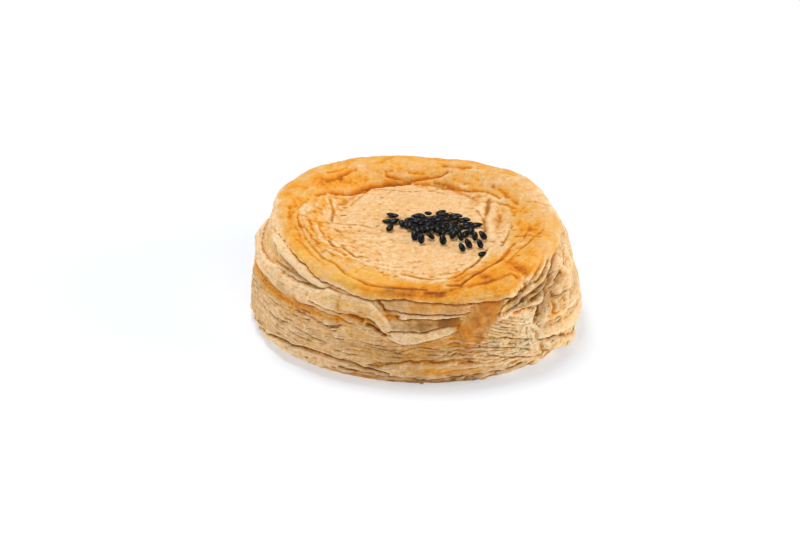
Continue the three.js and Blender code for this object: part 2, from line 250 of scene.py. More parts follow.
# Frayed layer ends that fan down towards the gather on the right
FAN_COUNT = 3
FAN_SAG_ANGLE = 34
for step in range(FAN_COUNT):
    start, stop = 20 + 2 * (step % 3), 46.5 - step % 2
    first, last = 0.56 - 0.1 * step, 0.33 - 0.09 * step
    sag = 0.47 * first + 0.53 * last
    STRAPS.append(dough_strap(
        f"fan {step}", [(start, first), (FAN_SAG_ANGLE, sag + 0.01), (stop, last)],
        [(start, first + 0.05), (FAN_SAG_ANGLE, sag + 0.06), (stop, last + 0.04)],
        0.3 + 0.1 * (step % 2), 0.0, 0.2, 0.0, (5, 3)))

# Slivers: torn layer ends, by the angles and levels they lie between, their number, lengths, lift
# and how dark the painted shade under them is
SLIVERS = [
    ((-56, -30), (0.5, 0.61), 11, (5, 12), 0.6, 0.7),
    ((-75, 0), (0.24, 0.5), 13, (4, 14), 0.22, 0.6),
    ((-2, 30), (0.28, 0.46), 9, (4, 10), 0.25, 0.6),
    ((-84, 62), (0.03, 0.17), 22, (3, 9), 0.4, 0.6),
    ((48, 98), (0.1, 0.5), 9, (3, 9), 0.3, 0.6),
    ((96, 275), (0.24, 0.8), 34, (4, 14), 0.28, 0.6),
    ((96, 275), (0.03, 0.17), 24, (3, 9), 0.4, 0.6),
]
SLIVER_SLOPE = 0.0018
SLIVER_SAG = (-0.012, 0.018)
SLIVER_HEIGHT = (0.035, 0.08)
SLIVER_HANG = 0.2
SLIVER_LIFTS, SLIVER_ENDS = (0.6, 1.3), (0.1, 0.9)  # shares of the lift and of half the length
chance = np.random.default_rng(20)
small_straps = []
for angles, levels, count, lengths, lift, painted_shade in SLIVERS:
    for n in range(count):
        centre = chance.uniform(*angles)
        at = chance.uniform(*levels)
        half = chance.uniform(*lengths) / 2
        slope = chance.normal(0, SLIVER_SLOPE)
        sag = chance.uniform(*SLIVER_SAG)
        tall = chance.uniform(*SLIVER_HEIGHT)
        path = [(centre + half * s, at + slope * half * s - sag * (1 - s * s)) for s in (-1, -0.5, 0, 0.5, 1)]
        small_straps.append(dough_strap(
            "sliver", path, [(a, v + tall) for a, v in path],
            lift * chance.uniform(*SLIVER_LIFTS), 0.0, SLIVER_HANG, 0.0,
            (half * chance.uniform(*SLIVER_ENDS), half * chance.uniform(*SLIVER_ENDS)), painted_shade=painted_shade))

# How a strap meets what is below it
LIP_ROUND = 0.22  # radius over which a strap's lower edge is rounded
LIP_CURL = 0.35  # share of its lift that the edge loses in that round
# The pale line along a strap's lower edge is a painted highlight
LIP_FADE = 0.35  # way up from the edge over which its pale line fades
HANG_FADE = 0.6  # way up from the edge over which the hang fades
TOP_FADE = (-0.5, 0.3)  # way past its upper edge over which a strap ends
OVER_CREST = 99  # way that puts the end of a strap out of reach, if it runs over the crest
TOP_HIGHLIGHT_WIDTH = 0.45
GROOVE_DEPTH = 1.0  # share of the lift that the line under an edge is cut in by
GROOVE_HEIGHT = 0.42
SHALLOW_LIFT = 0.3  # least lift that the depth of that line is worked out from
RAGGED = 0.014  # waviness of an edge, in levels
THIN_STRAP = 0.012  # least height of a strap, in levels
HANG_HIDES, LIFT_HIDES = 0.8, 0.55  # shares of a strap's hang and lift that hide what is under it

# Folds of the side where the dough was drawn together: depth, width, how dark the painted shade in them is,
# and (angle, level) points
FOLDS = [
    (1.6, 1.1, 0.8, [(56, 0.715), (52.6, 0.66), (51.3, 0.6), (50.2, 0.55), (48.6, 0.5)]),
    (0.9, 1.2, 0.675, [(68, 0.73), (60.4, 0.721), (57, 0.69), (54, 0.64)]),
    (0.6, 0.6, 0.45, [(56.5, 0.49), (58.2, 0.55)]),
    (1.4, 0.75, 0.9, [(-26.5, 0.7), (-24, 0.688), (-21.5, 0.66)]),
    (0.7, 0.38, 0.8, [(-18.8, 0.7), (-16, 0.676)]),
    (1.2, 0.5, 0.95, [(-19, 0.636), (-16.7, 0.628), (-14.2, 0.593), (-11.8, 0.562)]),
    (0.5, 1.0, 0.375, [(-11, 0.765), (-7, 0.745)]),
    (0.7, 0.6, 0.525, [(-15.5, 0.88), (-13.5, 0.84), (-12.6, 0.8)]),
    (0.8, 1.8, 0.1, [(120, 0.9), (114, 0.72), (120, 0.5)]),
    (0.7, 1.8, 0.1, [(244, 0.8), (250, 0.6), (244, 0.42)]),
    (0.95, 0.4, 0.45, [(-90, 0.075), (-72.8, 0.085), (-65.8, 0.109), (-59.2, 0.152), (-49, 0.184),
     (-39.6, 0.21), (-33, 0.207), (-26.8, 0.207), (-21.6, 0.184), (-16.8, 0.164), (-10, 0.15)]),
    (0.8, 0.36, 0.9, [(-28.8, 0.129), (-20.8, 0.132), (-14.8, 0.115), (-11, 0.106), (1, 0.082), (9.4, 0.12),
     (20.2, 0.138), (29.6, 0.147), (40, 0.13)]),
    (0.5, 0.8, 0.4, [(-17.4, 0.205), (-13, 0.231), (-6.6, 0.265), (-2, 0.297), (3.8, 0.297), (9.4, 0.294),
     (20, 0.27)]),
    (1.0, 0.85, 0.5, [(-66, 0.885), (-58.2, 0.873), (-52.8, 0.855), (-47.8, 0.832), (-42.6, 0.835)]),
    (1.0, 0.42, 0.8, [(92, 0.2), (130, 0.16), (180, 0.2), (230, 0.17), (268, 0.2)]),
]
# Ropes, thin rolls of dough that run up out of the gather: rise, width, how dark the painted shade beside
# them is, how strong the painted highlight along them is, and (angle, level) points
ROPES = [
    (1.3, 0.6, 0.5, 0.5, [(36, 0.73), (41.6, 0.751), (43.6, 0.772), (47.4, 0.791), (51.6, 0.804),
     (56.6, 0.833), (66, 0.9)]),
    (1.7, 0.75, 0.5, 0.5, [(37, 0.697), (42.6, 0.7), (49.4, 0.675), (55.6, 0.705), (57.4, 0.743), (62, 0.8),
     (72, 0.88)]),
    (0.6, 0.7, 0.5, 0.5, [(30, 0.64), (35.8, 0.655), (41, 0.67)]),
    (0.7, 0.6, 0.5, 0.5, [(45, 0.81), (50, 0.835), (57, 0.89), (63, 0.94)]),
    (1.0, 0.5, 0.5, 0.5, [(40, 0.722), (48, 0.737), (54, 0.768), (60, 0.822), (67, 0.87)]),
    (0.4, 0.6, 0.5, 0.5, [(46, 0.85), (50, 0.885), (54, 0.94)]),
    (0.6, 1.2, 0.15, 0.5, [(62, 0.42), (67, 0.545), (72, 0.66), (82, 0.74)]),
    (0.6, 0.5, 0.15, 1.0, [(-70, 0.772), (-63, 0.788), (-57, 0.803), (-50, 0.825), (-45, 0.836),
     (-40, 0.866)]),
]
# Strands: frayed layer ends that run towards the gather, with a painted highlight along their crests and
# painted shade beside them
STRANDS = [
    [(5, 0.297), (11.2, 0.326), (16.8, 0.334), (24, 0.337), (31.6, 0.303)],
    [(5.8, 0.254), (13, 0.268), (20.4, 0.277), (27.8, 0.274), (33.6, 0.257)],
    [(9.6, 0.483), (15.2, 0.503), (20.6, 0.466), (26.2, 0.417), (31.8, 0.374)],
    [(24.6, 0.52), (28.4, 0.477), (32, 0.434), (35.8, 0.397)],
    [(30, 0.6), (35, 0.56), (40, 0.5), (43, 0.44)],
    [(33, 0.53), (37, 0.48), (41, 0.42), (45, 0.38)],
    [(28, 0.4), (34, 0.36), (40, 0.33), (46, 0.32)],
    [(27, 0.22), (33, 0.235), (39, 0.25), (46, 0.27)],
    [(8, 0.21), (14, 0.225), (22, 0.235), (30, 0.23)],
    [(3, 0.345), (9, 0.36), (15, 0.375), (21, 0.37)],
    [(12, 0.44), (18, 0.42), (24, 0.38), (29, 0.35)],
    [(36, 0.6), (39, 0.55), (42, 0.49)],
    [(36, 0.3), (41, 0.29), (46, 0.29)],
]
ROPE_VALLEY = 0.35  # share of a rope's rise that the dough beside it sinks by
ROPE_TALL = 1.2  # rise above which the dough beside a rope gets no darker
ROPE_FADE = (3, 5)  # degrees over which a rope rises and ends
STRAND_RISE, STRAND_WIDTH, STRAND_WANDER = 0.55, 0.3, 0.6
STRAND_FADE, STRAND_SHADE = 4, 0.3
FOLD_WANDER = 0.8  # share of the strands' wander that folds and ropes have

# Swells and hollows of the side: angle, level, half-sizes in both, and lift
SWELLS = [(66, 0.2, 18, 0.15, 0.8), (92, 0.6, 20, 0.22, -1.0), (-96, 0.8, 14, 0.16, -1.2),
          (-62, 0.83, 16, 0.05, -0.9), (28, 0.12, 22, 0.12, 0.8), (128, 0.97, 16, 0.2, 0.9),
          (-25, 0.66, 7, 0.05, -0.6), (58, 0.645, 5, 0.06, -1.1)]
LAYER_PITCH = 1.15  # height of one dough layer
LAYER_LIFT = 0.5
LAYERS_SHOW = (0.03, 0.93)  # levels between which rows of the mesh follow the layers' valleys
DIP = 9.0  # how far the layers dip towards the gather, over these angles and levels
DIP_ANGLES, DIP_LEVELS = ((14, 46), (47, 60)), ((0.12, 0.5), (0.85, 0.62))
WANDER = ((1.6, 14.0), (0.55, 4.5))  # broad and narrow wandering of the layers, with their sizes
CRINKLE_LIFT, CRINKLE_SIZE = 0.3, 3.2
LUMP_LIFT, LUMP_SIZE = 0.45, 11.0
GRAIN_LIFT, GRAIN_SIZE = 0.12, 2.6
SINK = 0.35  # the side is drawn in by this, so that its straps reach the outline

# The mesh's rows on the side, moved to follow the valleys between layers and the straps' lower edges
column_angles = np.linspace(-180, 180, COLUMNS, endpoint=False)
columns = np.arange(COLUMNS)
row_levels = np.interp(np.linspace(0, section_way[-1], SIDE_ROWS + 1), section_way, section_level)
level = np.repeat(row_levels[:, None], COLUMNS, axis=1)
degrees = np.repeat(column_angles[None, :], SIDE_ROWS + 1, axis=0)
column_height = rim_height(np.radians(column_angles))


def strap_turn(strap):
    """Column angles carried to the turn that the strap is written in, and how far it shows there."""
    first, last = strap["low"][0][0], strap["low"][-1][0]
    turned = first + (column_angles - first) % 360
    start, stop = strap["ends"]
    shown = smooth_step(turned - first, 0, max(start, 0.01)) * smooth_step(last - turned, 0, max(stop, 0.01))
    return turned, shown


def side_form(degrees, level):
    """Points of the plain side, before any relief."""
    angle = np.radians(degrees)
    out = np.interp(level, section_level, section_share) * plan_radius(angle)
    return np.stack([out * np.sin(angle), -out * np.cos(angle), level * rim_height(angle)], -1)


def layer_stack(degrees, level):
    """Height of points in the stack of dough layers, which wander and dip towards the gather."""
    place = side_form(degrees, level)
    dip = DIP * smooth_step(degrees, *DIP_ANGLES[0]) * (1 - smooth_step(degrees, *DIP_ANGLES[1]))
    dip = dip * smooth_step(level, *DIP_LEVELS[0]) * smooth_step(level, *DIP_LEVELS[1])
    (broad, broad_size), (narrow, narrow_size) = WANDER
    wander = broad * fractal(place * (0.35, 0.35, 1.0), broad_size)
    wander = wander + narrow * fractal(place * (0.5, 0.5, 1.0) + 15, narrow_size)
    return place[..., 2] + dip + wander


stack = np.maximum.accumulate(layer_stack(degrees, level), axis=0)
for column in range(COLUMNS):
    rising = stack[:, column]
    between = np.arange(math.ceil(rising[0] / LAYER_PITCH), math.floor(rising[-1] / LAYER_PITCH) + 1)
    valleys = np.interp(between * LAYER_PITCH, rising, level[:, column])
    valleys = valleys[(valleys > LAYERS_SHOW[0]) & (valleys < LAYERS_SHOW[1])]
    nearest = np.abs(row_levels[:, None] - valleys).argmin(axis=0)
    level[nearest, column] = valleys

WAVE_RADIUS = 47.0  # radius of the ring that the edges' waviness and the smear are drawn on
WAVE_SHIFT = 37  # columns between the waviness of one strap and of the next
TOP_SHIFT = 200  # columns between the waviness of a strap's two edges
EDGE_GAP = 0.1  # half the height between the row on a strap's lower edge and the row under it
EDGE_LEVELS = (0.01, 0.988)
ring_points = WAVE_RADIUS * np.stack([
    np.sin(np.radians(column_angles)), np.cos(np.radians(column_angles)), 0 * column_angles], -1)
waviness = RAGGED * (fractal(ring_points, 6.0, 4) + 0.5 * fractal(ring_points + 9, 2.2, 2))
half_gap = EDGE_GAP / column_height
for order, strap in enumerate(small_straps + STRAPS):
    turned, shown = strap_turn(strap)
    edge = along(strap["low"], turned) + np.roll(waviness, WAVE_SHIFT * order)
    strap["edge"] = edge
    strap["top"] = along(strap["high"], turned) + np.roll(waviness, WAVE_SHIFT * order + TOP_SHIFT)
    strap["shown"] = shown
    nearest = np.clip(np.argmin(np.abs(level - edge), axis=0), 2, SIDE_ROWS - 2)
    moved = (shown > 0.05) & (edge < EDGE_LEVELS[1]) & (edge > EDGE_LEVELS[0])
    level[nearest[moved], columns[moved]] = (edge + half_gap)[moved]
    level[nearest[moved] - 1, columns[moved]] = (edge - half_gap)[moved]
level = np.sort(level, axis=0)

# Relief of the side, with how creased, how strapped, how pale-lipped and how much more baked each point is
angle = np.radians(degrees)
form = side_form(degrees, level)
relief = np.full(level.shape, -SINK)
drop, crease_shade, strapped, edge_highlight, strap_bake = (np.zeros(level.shape) for n in range(5))
for strap in STRAPS + small_straps:
    here = np.nonzero(strap["shown"] > 0.01)[0]
    part = (slice(None), here)
    shown, edge, top = strap["shown"][here], strap["edge"][here], strap["top"][here]
    above = way_up(level[part]) - way_up(edge)
    share_up = np.clip((level[part] - edge) / np.maximum(top - edge, THIN_STRAP), 0, 1)
    past_top = way_up(level[part]) - way_up(top) - OVER_CREST * (top > 1)
    inside = (above >= 0) * (1 - smooth_step(past_top, *TOP_FADE))
    curl = np.sqrt(np.clip(1 - (1 - np.clip(above / LIP_ROUND, 0, 1)) ** 2, 0, 1))
    body = strap["lift"] + (strap["tuck"] - strap["lift"]) * share_up
    bulge = strap["bulge"] * 2 * np.sqrt(share_up * (1 - share_up))
    relief[part] += shown * inside * (body * (1 - LIP_CURL + LIP_CURL * curl) + bulge)
    hidden = HANG_HIDES * strap["hang"] + LIFT_HIDES * strap["lift"] * (1 - smooth_step(edge, 0.3, 0.6))
    under = (above < 0) * bell(np.maximum(-above - hidden, 0), GROOVE_HEIGHT)
    relief[part] -= shown * under * GROOVE_DEPTH * max(strap["lift"], SHALLOW_LIFT)
    drop[part] += shown * inside * strap["hang"] * np.exp(-np.maximum(above, 0) / HANG_FADE)
    # Painted shade in the line under the strap, and painted shade laid over the strap along its length
    line_shade = strap["painted_shade"]
    if isinstance(line_shade, list):
        line_shade = along(line_shade, column_angles[here])
    crease_shade[part] = np.maximum(crease_shade[part], shown * under * line_shade)
    # Painted highlights along the strap's upper edge and just above its lower edge
    edge_highlight[part] = np.maximum(edge_highlight[part], shown * (strap["top_highlight"] * bell(past_top + 0.5, TOP_HIGHLIGHT_WIDTH)))
    first, last = strap["low"][0][0], strap["low"][-1][0]
    along_it = (column_angles[here] - first) % 360 / (last - first)
    strap_bake[part] += shown * inside * np.interp(along_it, (0, 1), strap["bake"])
    crease_shade[part] = np.maximum(crease_shade[part], shown * inside * np.interp(along_it, (0, 1), strap["shade_along"]))
    edge_highlight[part] = np.maximum(edge_highlight[part], shown * (above >= 0) * np.exp(-np.maximum(above, 0) / LIP_FADE))
    if strap["name"] not in ("cap", "sliver") and not strap["name"].startswith("fan"):
        strapped[part] = np.maximum(strapped[part], shown * inside * (1 - 0.5 * share_up))

spread_across = angle * MEAN_RADIUS
spread_up = level * MEAN_HEIGHT
wavering = STRAND_WANDER * fractal(form * (0.6, 0.6, 1.0) + 25, 3.0)


def rolled_out(points, turn=0):
    """A line of (angle, level) points on the side rolled out flat, carried back by a turn in degrees."""
    return [(math.radians(a - turn) * MEAN_RADIUS, v * MEAN_HEIGHT) for a, v in points]


def near_and_beside(points, turn, width):
    """How near places of the side are to a line drawn on it, and to the dough beside that line."""
    gap = distance_to(rolled_out(points, turn), spread_across, spread_up + FOLD_WANDER * wavering)
    return bell(gap, width), bell(gap - 2.0 * width, 0.9 * width)


# Painted shade in the folds and beside the ropes, and a painted highlight along the ropes
for depth, width, painted_shade, points in FOLDS:
    for turn in (0, 360):
        near, beside = near_and_beside(points, turn, width)
        relief += depth * (0.3 * beside - near)
        crease_shade = np.maximum(crease_shade, painted_shade * near)
for rise, width, painted_shade, rope_highlight, points in ROPES:
    for turn in (0, 360):
        near, beside = near_and_beside(points, turn, width)
        first, last = points[0][0] - turn, points[-1][0] - turn
        shown = smooth_step(degrees, first, first + ROPE_FADE[0])
        shown = shown * smooth_step(degrees, last, last - ROPE_FADE[1])
        relief += rise * shown * (near - ROPE_VALLEY * beside)
        crease_shade = np.maximum(crease_shade, painted_shade * min(rise, ROPE_TALL) * shown * beside)
        edge_highlight = np.maximum(edge_highlight, rope_highlight * shown * near)

strand = np.zeros(level.shape)
beaded = np.clip(0.7 + 0.9 * fractal(form * (0.7, 0.7, 1.2) + 35, 2.2), 0.1, 1)
for points in STRANDS:
    gap = distance_to(rolled_out(points), spread_across, spread_up + wavering)
    first, last = points[0][0], points[-1][0]
    shown = smooth_step(degrees, first, first + STRAND_FADE) * smooth_step(degrees, last, last - STRAND_FADE)
    shown = shown * beaded
    strand = np.maximum(strand, shown * bell(gap, STRAND_WIDTH))
    beside = shown * bell(gap - 2.0 * STRAND_WIDTH, 0.8 * STRAND_WIDTH)
    relief -= ROPE_VALLEY * STRAND_RISE * beside
    # Painted shade beside each strand
    crease_shade = np.maximum(crease_shade, STRAND_SHADE * beside)
relief += STRAND_RISE * strand

# Fibres drawn out of the gather's pinch, fanning from it in every direction
PINCH = (44.0, 0.58)
PINCH_REACH = 11.0
FIBRE_LIFT = 0.45
FIBRE_RING, FIBRE_STRETCH = 16, 0.25  # radius of the ring of noise for them, and how they are drawn out
pinch_across = spread_across - math.radians(PINCH[0]) * MEAN_RADIUS
pinch_up = spread_up - PINCH[1] * MEAN_HEIGHT
pinch_way = np.hypot(pinch_across, pinch_up)
pinch_turn = np.arctan2(pinch_up, pinch_across)
drawn = bell(pinch_way, PINCH_REACH) * smooth_step(pinch_turn, 2.6, 2.0)
fibre_place = np.stack([np.cos(pinch_turn) * FIBRE_RING, np.sin(pinch_turn) * FIBRE_RING,
                        pinch_way * FIBRE_STRETCH], -1)
near_pinch = drawn > 0.02
fibres = np.zeros(level.shape)
fibres[near_pinch] = fractal(fibre_place[near_pinch], 2.0, 3)
relief += FIBRE_LIFT * drawn * smooth_step(pinch_way, 0, 3) * fibres
# Frayed ends there, pale and dry: angle, level, half-size across and up in millimetres, and how frayed
FRAYS = [(45.4, 0.46, 4.2, 5.2, 1.6), (40, 0.325, 6.0, 1.8, 1.3), (46.8, 0.285, 2.5, 1.5, 0.9),
         (34, 0.39, 7.0, 2.2, 0.8)]
fray = np.zeros(level.shape)
for frayed_angle, frayed_level, half_across, half_up, amount in FRAYS:
    off_across = (spread_across - math.radians(frayed_angle) * MEAN_RADIUS) / half_across
    off_up = (spread_up - frayed_level * MEAN_HEIGHT) / half_up
    fray = np.maximum(fray, amount * np.exp(-(off_across ** 2) - off_up ** 2))
fray = np.clip(fray * (0.8 + 1.2 * fibres), 0, 1)
# Less painted shade where the ends are frayed
crease_shade *= 1 - 0.7 * fray


def soft_patch(at_angle, at_level, half_angle, half_level, strength):
    """A soft round patch on the side, by its middle, its half-sizes and its strength."""
    apart = (degrees - at_angle + 180) % 360 - 180
    return strength * np.exp(-((apart / half_angle) ** 2 + ((level - at_level) / half_level) ** 2))


for swell in SWELLS:
    relief += soft_patch(*swell)

# Lamination: rounded layers with sharp valleys between them, each showing along parts of its length only
VALLEY_WIDTH = 0.16
SMOOTH_ANGLE, SMOOTH_WIDTH = -14, 26
FANNED_ANGLE, FANNED_WIDTH = 33, 13
layer_height = layer_stack(degrees, level)
layer_number = np.floor(layer_height / LAYER_PITCH + 1e-6)
pitch_share = np.clip(layer_height / LAYER_PITCH - layer_number, 0, 1)
edge_place = np.stack([0.3 * form[..., 0], 0.3 * form[..., 1], 5.7 * layer_number], -1)
edge_shows = smooth_step(fractal(edge_place, 2.0, 2), -0.4, 0.4)
patchy = np.clip(0.55 + 0.9 * fractal(form * (0.5, 0.5, 1.4) + 70, 9.0), 0, 1.3)
worn = (1 - 0.85 * strapped) * (1 - smooth_step(level, 0.86, 0.95)) * smooth_step(level, 0.0, 0.04)
# The layers show least at the front, where the dough is smooth, and most where they fan out
smooth_front = 0.75 - 0.45 * bell(degrees - SMOOTH_ANGLE, SMOOTH_WIDTH)
fanned = bell(degrees - FANNED_ANGLE, FANNED_WIDTH) * (1 - smooth_step(level, 0.55, 0.7))
layered = np.clip(patchy * worn * smooth_front + 0.3 * fanned, 0, 1.5)

# Egg wash that ran down the front right, as a smear with a wavering outline of (angle, level) points
FILM = 0.3
SMEAR_WAVER, SMEAR_WAVER_SIZE = 1.1, 3.0
SMEAR_EDGE = (-0.8, 1.3)  # way in from the outline over which the smear thickens
SMEAR = [(25, 0.85), (35, 0.83), (35, 0.748), (32.4, 0.684), (29.6, 0.602), (26.8, 0.517), (24.4, 0.469),
         (22.2, 0.437), (20.4, 0.383), (19, 0.4), (18, 0.463), (15.6, 0.511), (14.6, 0.576), (17.8, 0.647),
         (20.6, 0.713), (22, 0.78)]


def inside_outline(outline, across, up):
    """Whether points lie inside a closed outline, by counting the edges crossed to one side of them."""
    crossed = np.zeros(np.shape(across), bool)
    for (x0, y0), (x1, y1) in zip(outline, outline[1:] + outline[:1]):
        straddles = (y0 > up) != (y1 > up)
        at = x0 + (up - y0) * (x1 - x0) / (y1 - y0 if y1 != y0 else 1e-9)
        crossed ^= straddles & (across < at)
    return crossed


smear_line = [(math.radians(a) * WAVE_RADIUS, v * MEAN_HEIGHT) for a, v in SMEAR]
shaky = SMEAR_WAVER * fractal(form + 11, SMEAR_WAVER_SIZE)
smear_across = angle * WAVE_RADIUS + shaky
smear_up = spread_up + np.roll(shaky, 9, axis=0)
smear_gap = distance_to(smear_line + smear_line[:1], smear_across, smear_up)
smear_in = inside_outline(smear_line, smear_across, smear_up)
smear = smooth_step(np.where(smear_in, smear_gap, -smear_gap), *SMEAR_EDGE)
layered *= 1 - 0.9 * smear
film = FILM * smear * (1 + 0.5 * fractal(form + 90, 3.0))

skewed = pitch_share ** 0.75
crest = np.sqrt(np.clip(4 * skewed * (1 - skewed), 0, 1))
relief += LAYER_LIFT * layered * (edge_shows * crest - 0.5) + film
to_valley = np.minimum(pitch_share, 1 - pitch_share) * LAYER_PITCH
# Painted shade in the valleys between layers
valley_shade = bell(to_valley, VALLEY_WIDTH) * np.clip(layered, 0, 1) * (0.3 + 0.7 * edge_shows)
valley_shade *= 1 - 0.6 * fanned
relief += LUMP_LIFT * fractal(form, LUMP_SIZE)
relief += GRAIN_LIFT * fractal(form * (1, 1, 2.0) + 30, GRAIN_SIZE)
# Crumbs broken off along the foot, and a skin that crinkled least by the gather
CHIP_LIFT = 0.45
GATHER_ANGLE, GATHER_WIDTH = 52, 16
foot = smooth_step(level, 0.19, 0.1) * (1 - 0.6 * smooth_step(np.abs(degrees - 5), 60, 100))
chips = fractal(form * (0.8, 0.8, 1.3) + 80, 2.4)
relief += CHIP_LIFT * foot * chips
# Painted shade in the hollows between the crumbs
crease_shade = np.maximum(crease_shade, 0.95 * foot * smooth_step(chips, -0.28, -0.5))
crinkle = CRINKLE_LIFT * crinkled(form * (0.8, 0.8, 1.3), CRINKLE_SIZE)
relief += crinkle * (0.45 - 0.25 * bell(degrees - GATHER_ANGLE, GATHER_WIDTH))
relief *= smooth_step(level, -0.01, 0.05)

# Creases of the top: depth, width, how far the dough on their outer side is raised, and (x, y) points in plan
CREASES = [
    (1.0, 0.38, 0.4, [(-25.6, 15.6), (-19.5, 19.8), (-15.9, 23.2), (-12.6, 25.1), (-8.6, 26.5),
     (-4.6, 27.2), (-1.3, 27.5)]),
    (0.8, 0.35, 0.2, [(-8.6, 28.6), (-6, 28.3), (-2.6, 28.1), (1.7, 28.4), (8.7, 27.9), (10.3, 28.6)]),
    (0.5, 0.4, 0.25, [(6.1, 26.7), (10, 25.3), (14, 22.5), (17.3, 20.6), (22.2, 18.1), (25.9, 13.4)]),
    (0.3, 0.7, 0.15, [(-26.8, 20.4), (-24.2, 23.1), (-20, 26.6), (-18, 27.8)]),
    (0.4, 0.6, 0.2, [(-29.7, 13.1), (-26.6, 15.4), (-23, 17.6), (-20, 19.5)]),
    (0.4, 0.45, 0.15, [(-25.5, 13.2), (-24.4, 9.1), (-24.7, 2.4)]),
    (0.2, 0.4, 0.0, [(-32.2, -1.4), (-23.6, 1.3), (-15.9, 0.2), (-9.4, -3.6)]),
    (0.5, 0.6, 0.1, [(-31.1, -14.6), (-26.9, -22.7), (-22.8, -26.3), (-20, -30.8), (-13.3, -35),
     (-8.6, -35.9), (-4.3, -36.3), (3, -36.8)]),
    (0.25, 0.6, 0.0, [(-34.5, -8), (-33, -15), (-30, -21.5), (-26, -27)]),
    (0.45, 0.55, 0.7, [(-4, -28.4), (0.6, -30.7), (6.8, -31.9), (11.4, -31.5), (14.4, -27.2), (17.5, -23.3),
     (20, -18.5)]),
    (0.45, 0.5, 0.65, [(9, -35.8), (13, -35.5), (21.1, -26.5), (23.8, -24.2), (26.3, -18.2), (29.1, -13)]),
    (0.4, 0.6, 0.2, [(2.9, -38.1), (7, -38.3), (13.5, -36.2), (20.6, -33.7), (27.5, -29.9), (30.2, -30)]),
    (0.4, 0.5, 0.5, [(29.7, -8.5), (33, -9.2), (36.5, -12)]),
    (0.15, 1.5, 0.1, [(27.1, -22.8), (31, -25.7), (32.5, -29)]),
    (0.3, 0.9, 0.45, [(22.5, 14), (21.9, 9), (20.9, 4), (21.2, -2), (20.6, -7)]),
    (0.5, 0.4, 0.2, [(19.3, -19.5), (21.2, -15)]),
    (0.25, 0.7, 0.1, [(24, 19), (28, 14.5), (31, 9)]),
    (0.3, 0.7, 0.1, [(9, 31), (13, 29.5), (17, 28.5)]),
    (0.45, 0.45, 0.1, [(-27.4, -11.0), (-25.1, -11.7), (-23.5, -14.7), (-21, -15.3), (-19.1, -17.2),
     (-17.3, -20.2), (-15.6, -19)]),
    (0.4, 0.45, 0.3, [(-34.5, -3.8), (-33.1, -9.1), (-31.8, -13.4)]),
]
# Dents and bulges of the top: x, y, size and lift
DENTS = [(30.0, -26.0, 3.0, -0.9), (33.9, -4.7, 4.0, -0.7), (26.5, -31.0, 3.5, 0.4),
         (37.5, -14.0, 3.5, 0.5), (-24.0, 23.5, 3.5, -0.5), (-33.0, -2.0, 4.0, -0.3),
         (17.0, -33.5, 3.0, 0.4), (24.0, 3.0, 3.5, -0.4)]
# Where the top browned more or less in the oven, with a few lines of painted shade and painted highlight:
# width, amount and (x, y) points in plan
BROWNINGS = [
    (2.2, 0.15, [(-35.9, 7.7), (-36.4, 1.7), (-35, -6.7), (-34, -13.1), (-32.2, -18.5)]),
    # Painted shade: the next line darkens the dough beside the fold at the back left
    (2.8, 0.16, [(-26.8, 20.4), (-24.2, 23.1), (-20.1, 26.4)]),
    (2.2, 0.1, [(-6, -37.6), (2.9, -38.1), (7, -38.3)]),
    (3.0, 0.06, [(-31.7, -20.7), (-25.1, -29.7), (-17.9, -34.6)]),
    (1.5, 0.14, [(-3, -28.4), (0.6, -30.7), (6.8, -31.9), (11.4, -31.5), (14.4, -27.2), (17.5, -23.3)]),
    (1.6, 0.04, [(13, -35.5), (21.1, -26.5), (23.8, -24.2), (26.3, -18.2), (29.1, -13)]),
    (1.6, 0.05, [(27.1, -22.8), (31, -25.7), (32.5, -29)]),
    (3.2, 0.17, [(31.5, -3.5), (34, -6), (36, -11)]),
    (2.0, 0.04, [(22.5, 14), (21.9, 9), (20.9, 4), (21.2, -2)]),
    (4.0, 0.1, [(-29.8, -4.9), (-23.4, -5.3), (-19.4, -13.3), (-16.1, -17)]),
    (1.1, -0.22, [(-5.4, -29.9), (-0.4, -32.2), (4.8, -33), (8.5, -34.2), (12, -33.6)]),
    (3.0, -0.12, [(25, -6.9), (22.4, -14.1)]),
    (4.0, 0.05, [(-18, 31), (0, 33.5), (18, 31)]),
    (4.5, 0.18, [(-14, -38), (-6, -39), (7, -38.6)]),
    (5.0, 0.14, [(19, -34), (25, -30), (30, -26)]),
    (3.2, 0.22, [(13, -31), (19, -30), (23.2, -24), (24.5, -19)]),
    (3.5, -0.08, [(11, 22), (20, 15), (22, 8)]),
    (3.0, -0.06, [(24.3, 20), (20, 24)]),
    (4.0, 0.05, [(-14.5, 5.7), (-12, 6.5)]),
    (3.0, 0.1, [(-12, -36), (-4, -36.8)]),
    # Painted shade: the next line darkens the back-left crease a little more
    (2.8, 0.07, [(-24.5, 16), (-22.5, 23)]),
    (3.5, 0.09, [(-31, -2), (-30.6, -8), (-29, -14)]),
    (5.5, -0.06, [(27, 24), (37, 10), (41, -8)]),
    # Painted highlight: the next line pales the rim's right edge
    (2.2, -0.2, [(33, 21), (38, 12), (40.5, 3)]),
    (3.0, -0.1, [(-41, 12), (-42, 0), (-40, -10)]),
    (4.0, -0.09, [(-12, -35), (-24, -28), (-31, -20)]),
    (1.5, 0.12, [(-25.6, 16.6), (-19.5, 20.8), (-12.6, 26.1), (-4.6, 28.2)]),
    (1.2, 0.05, [(14, 23.5), (22.2, 19), (26.5, 14)]),
    (3.5, 0.1, [(-37, 9), (-34, 16), (-29, 21)]),
]
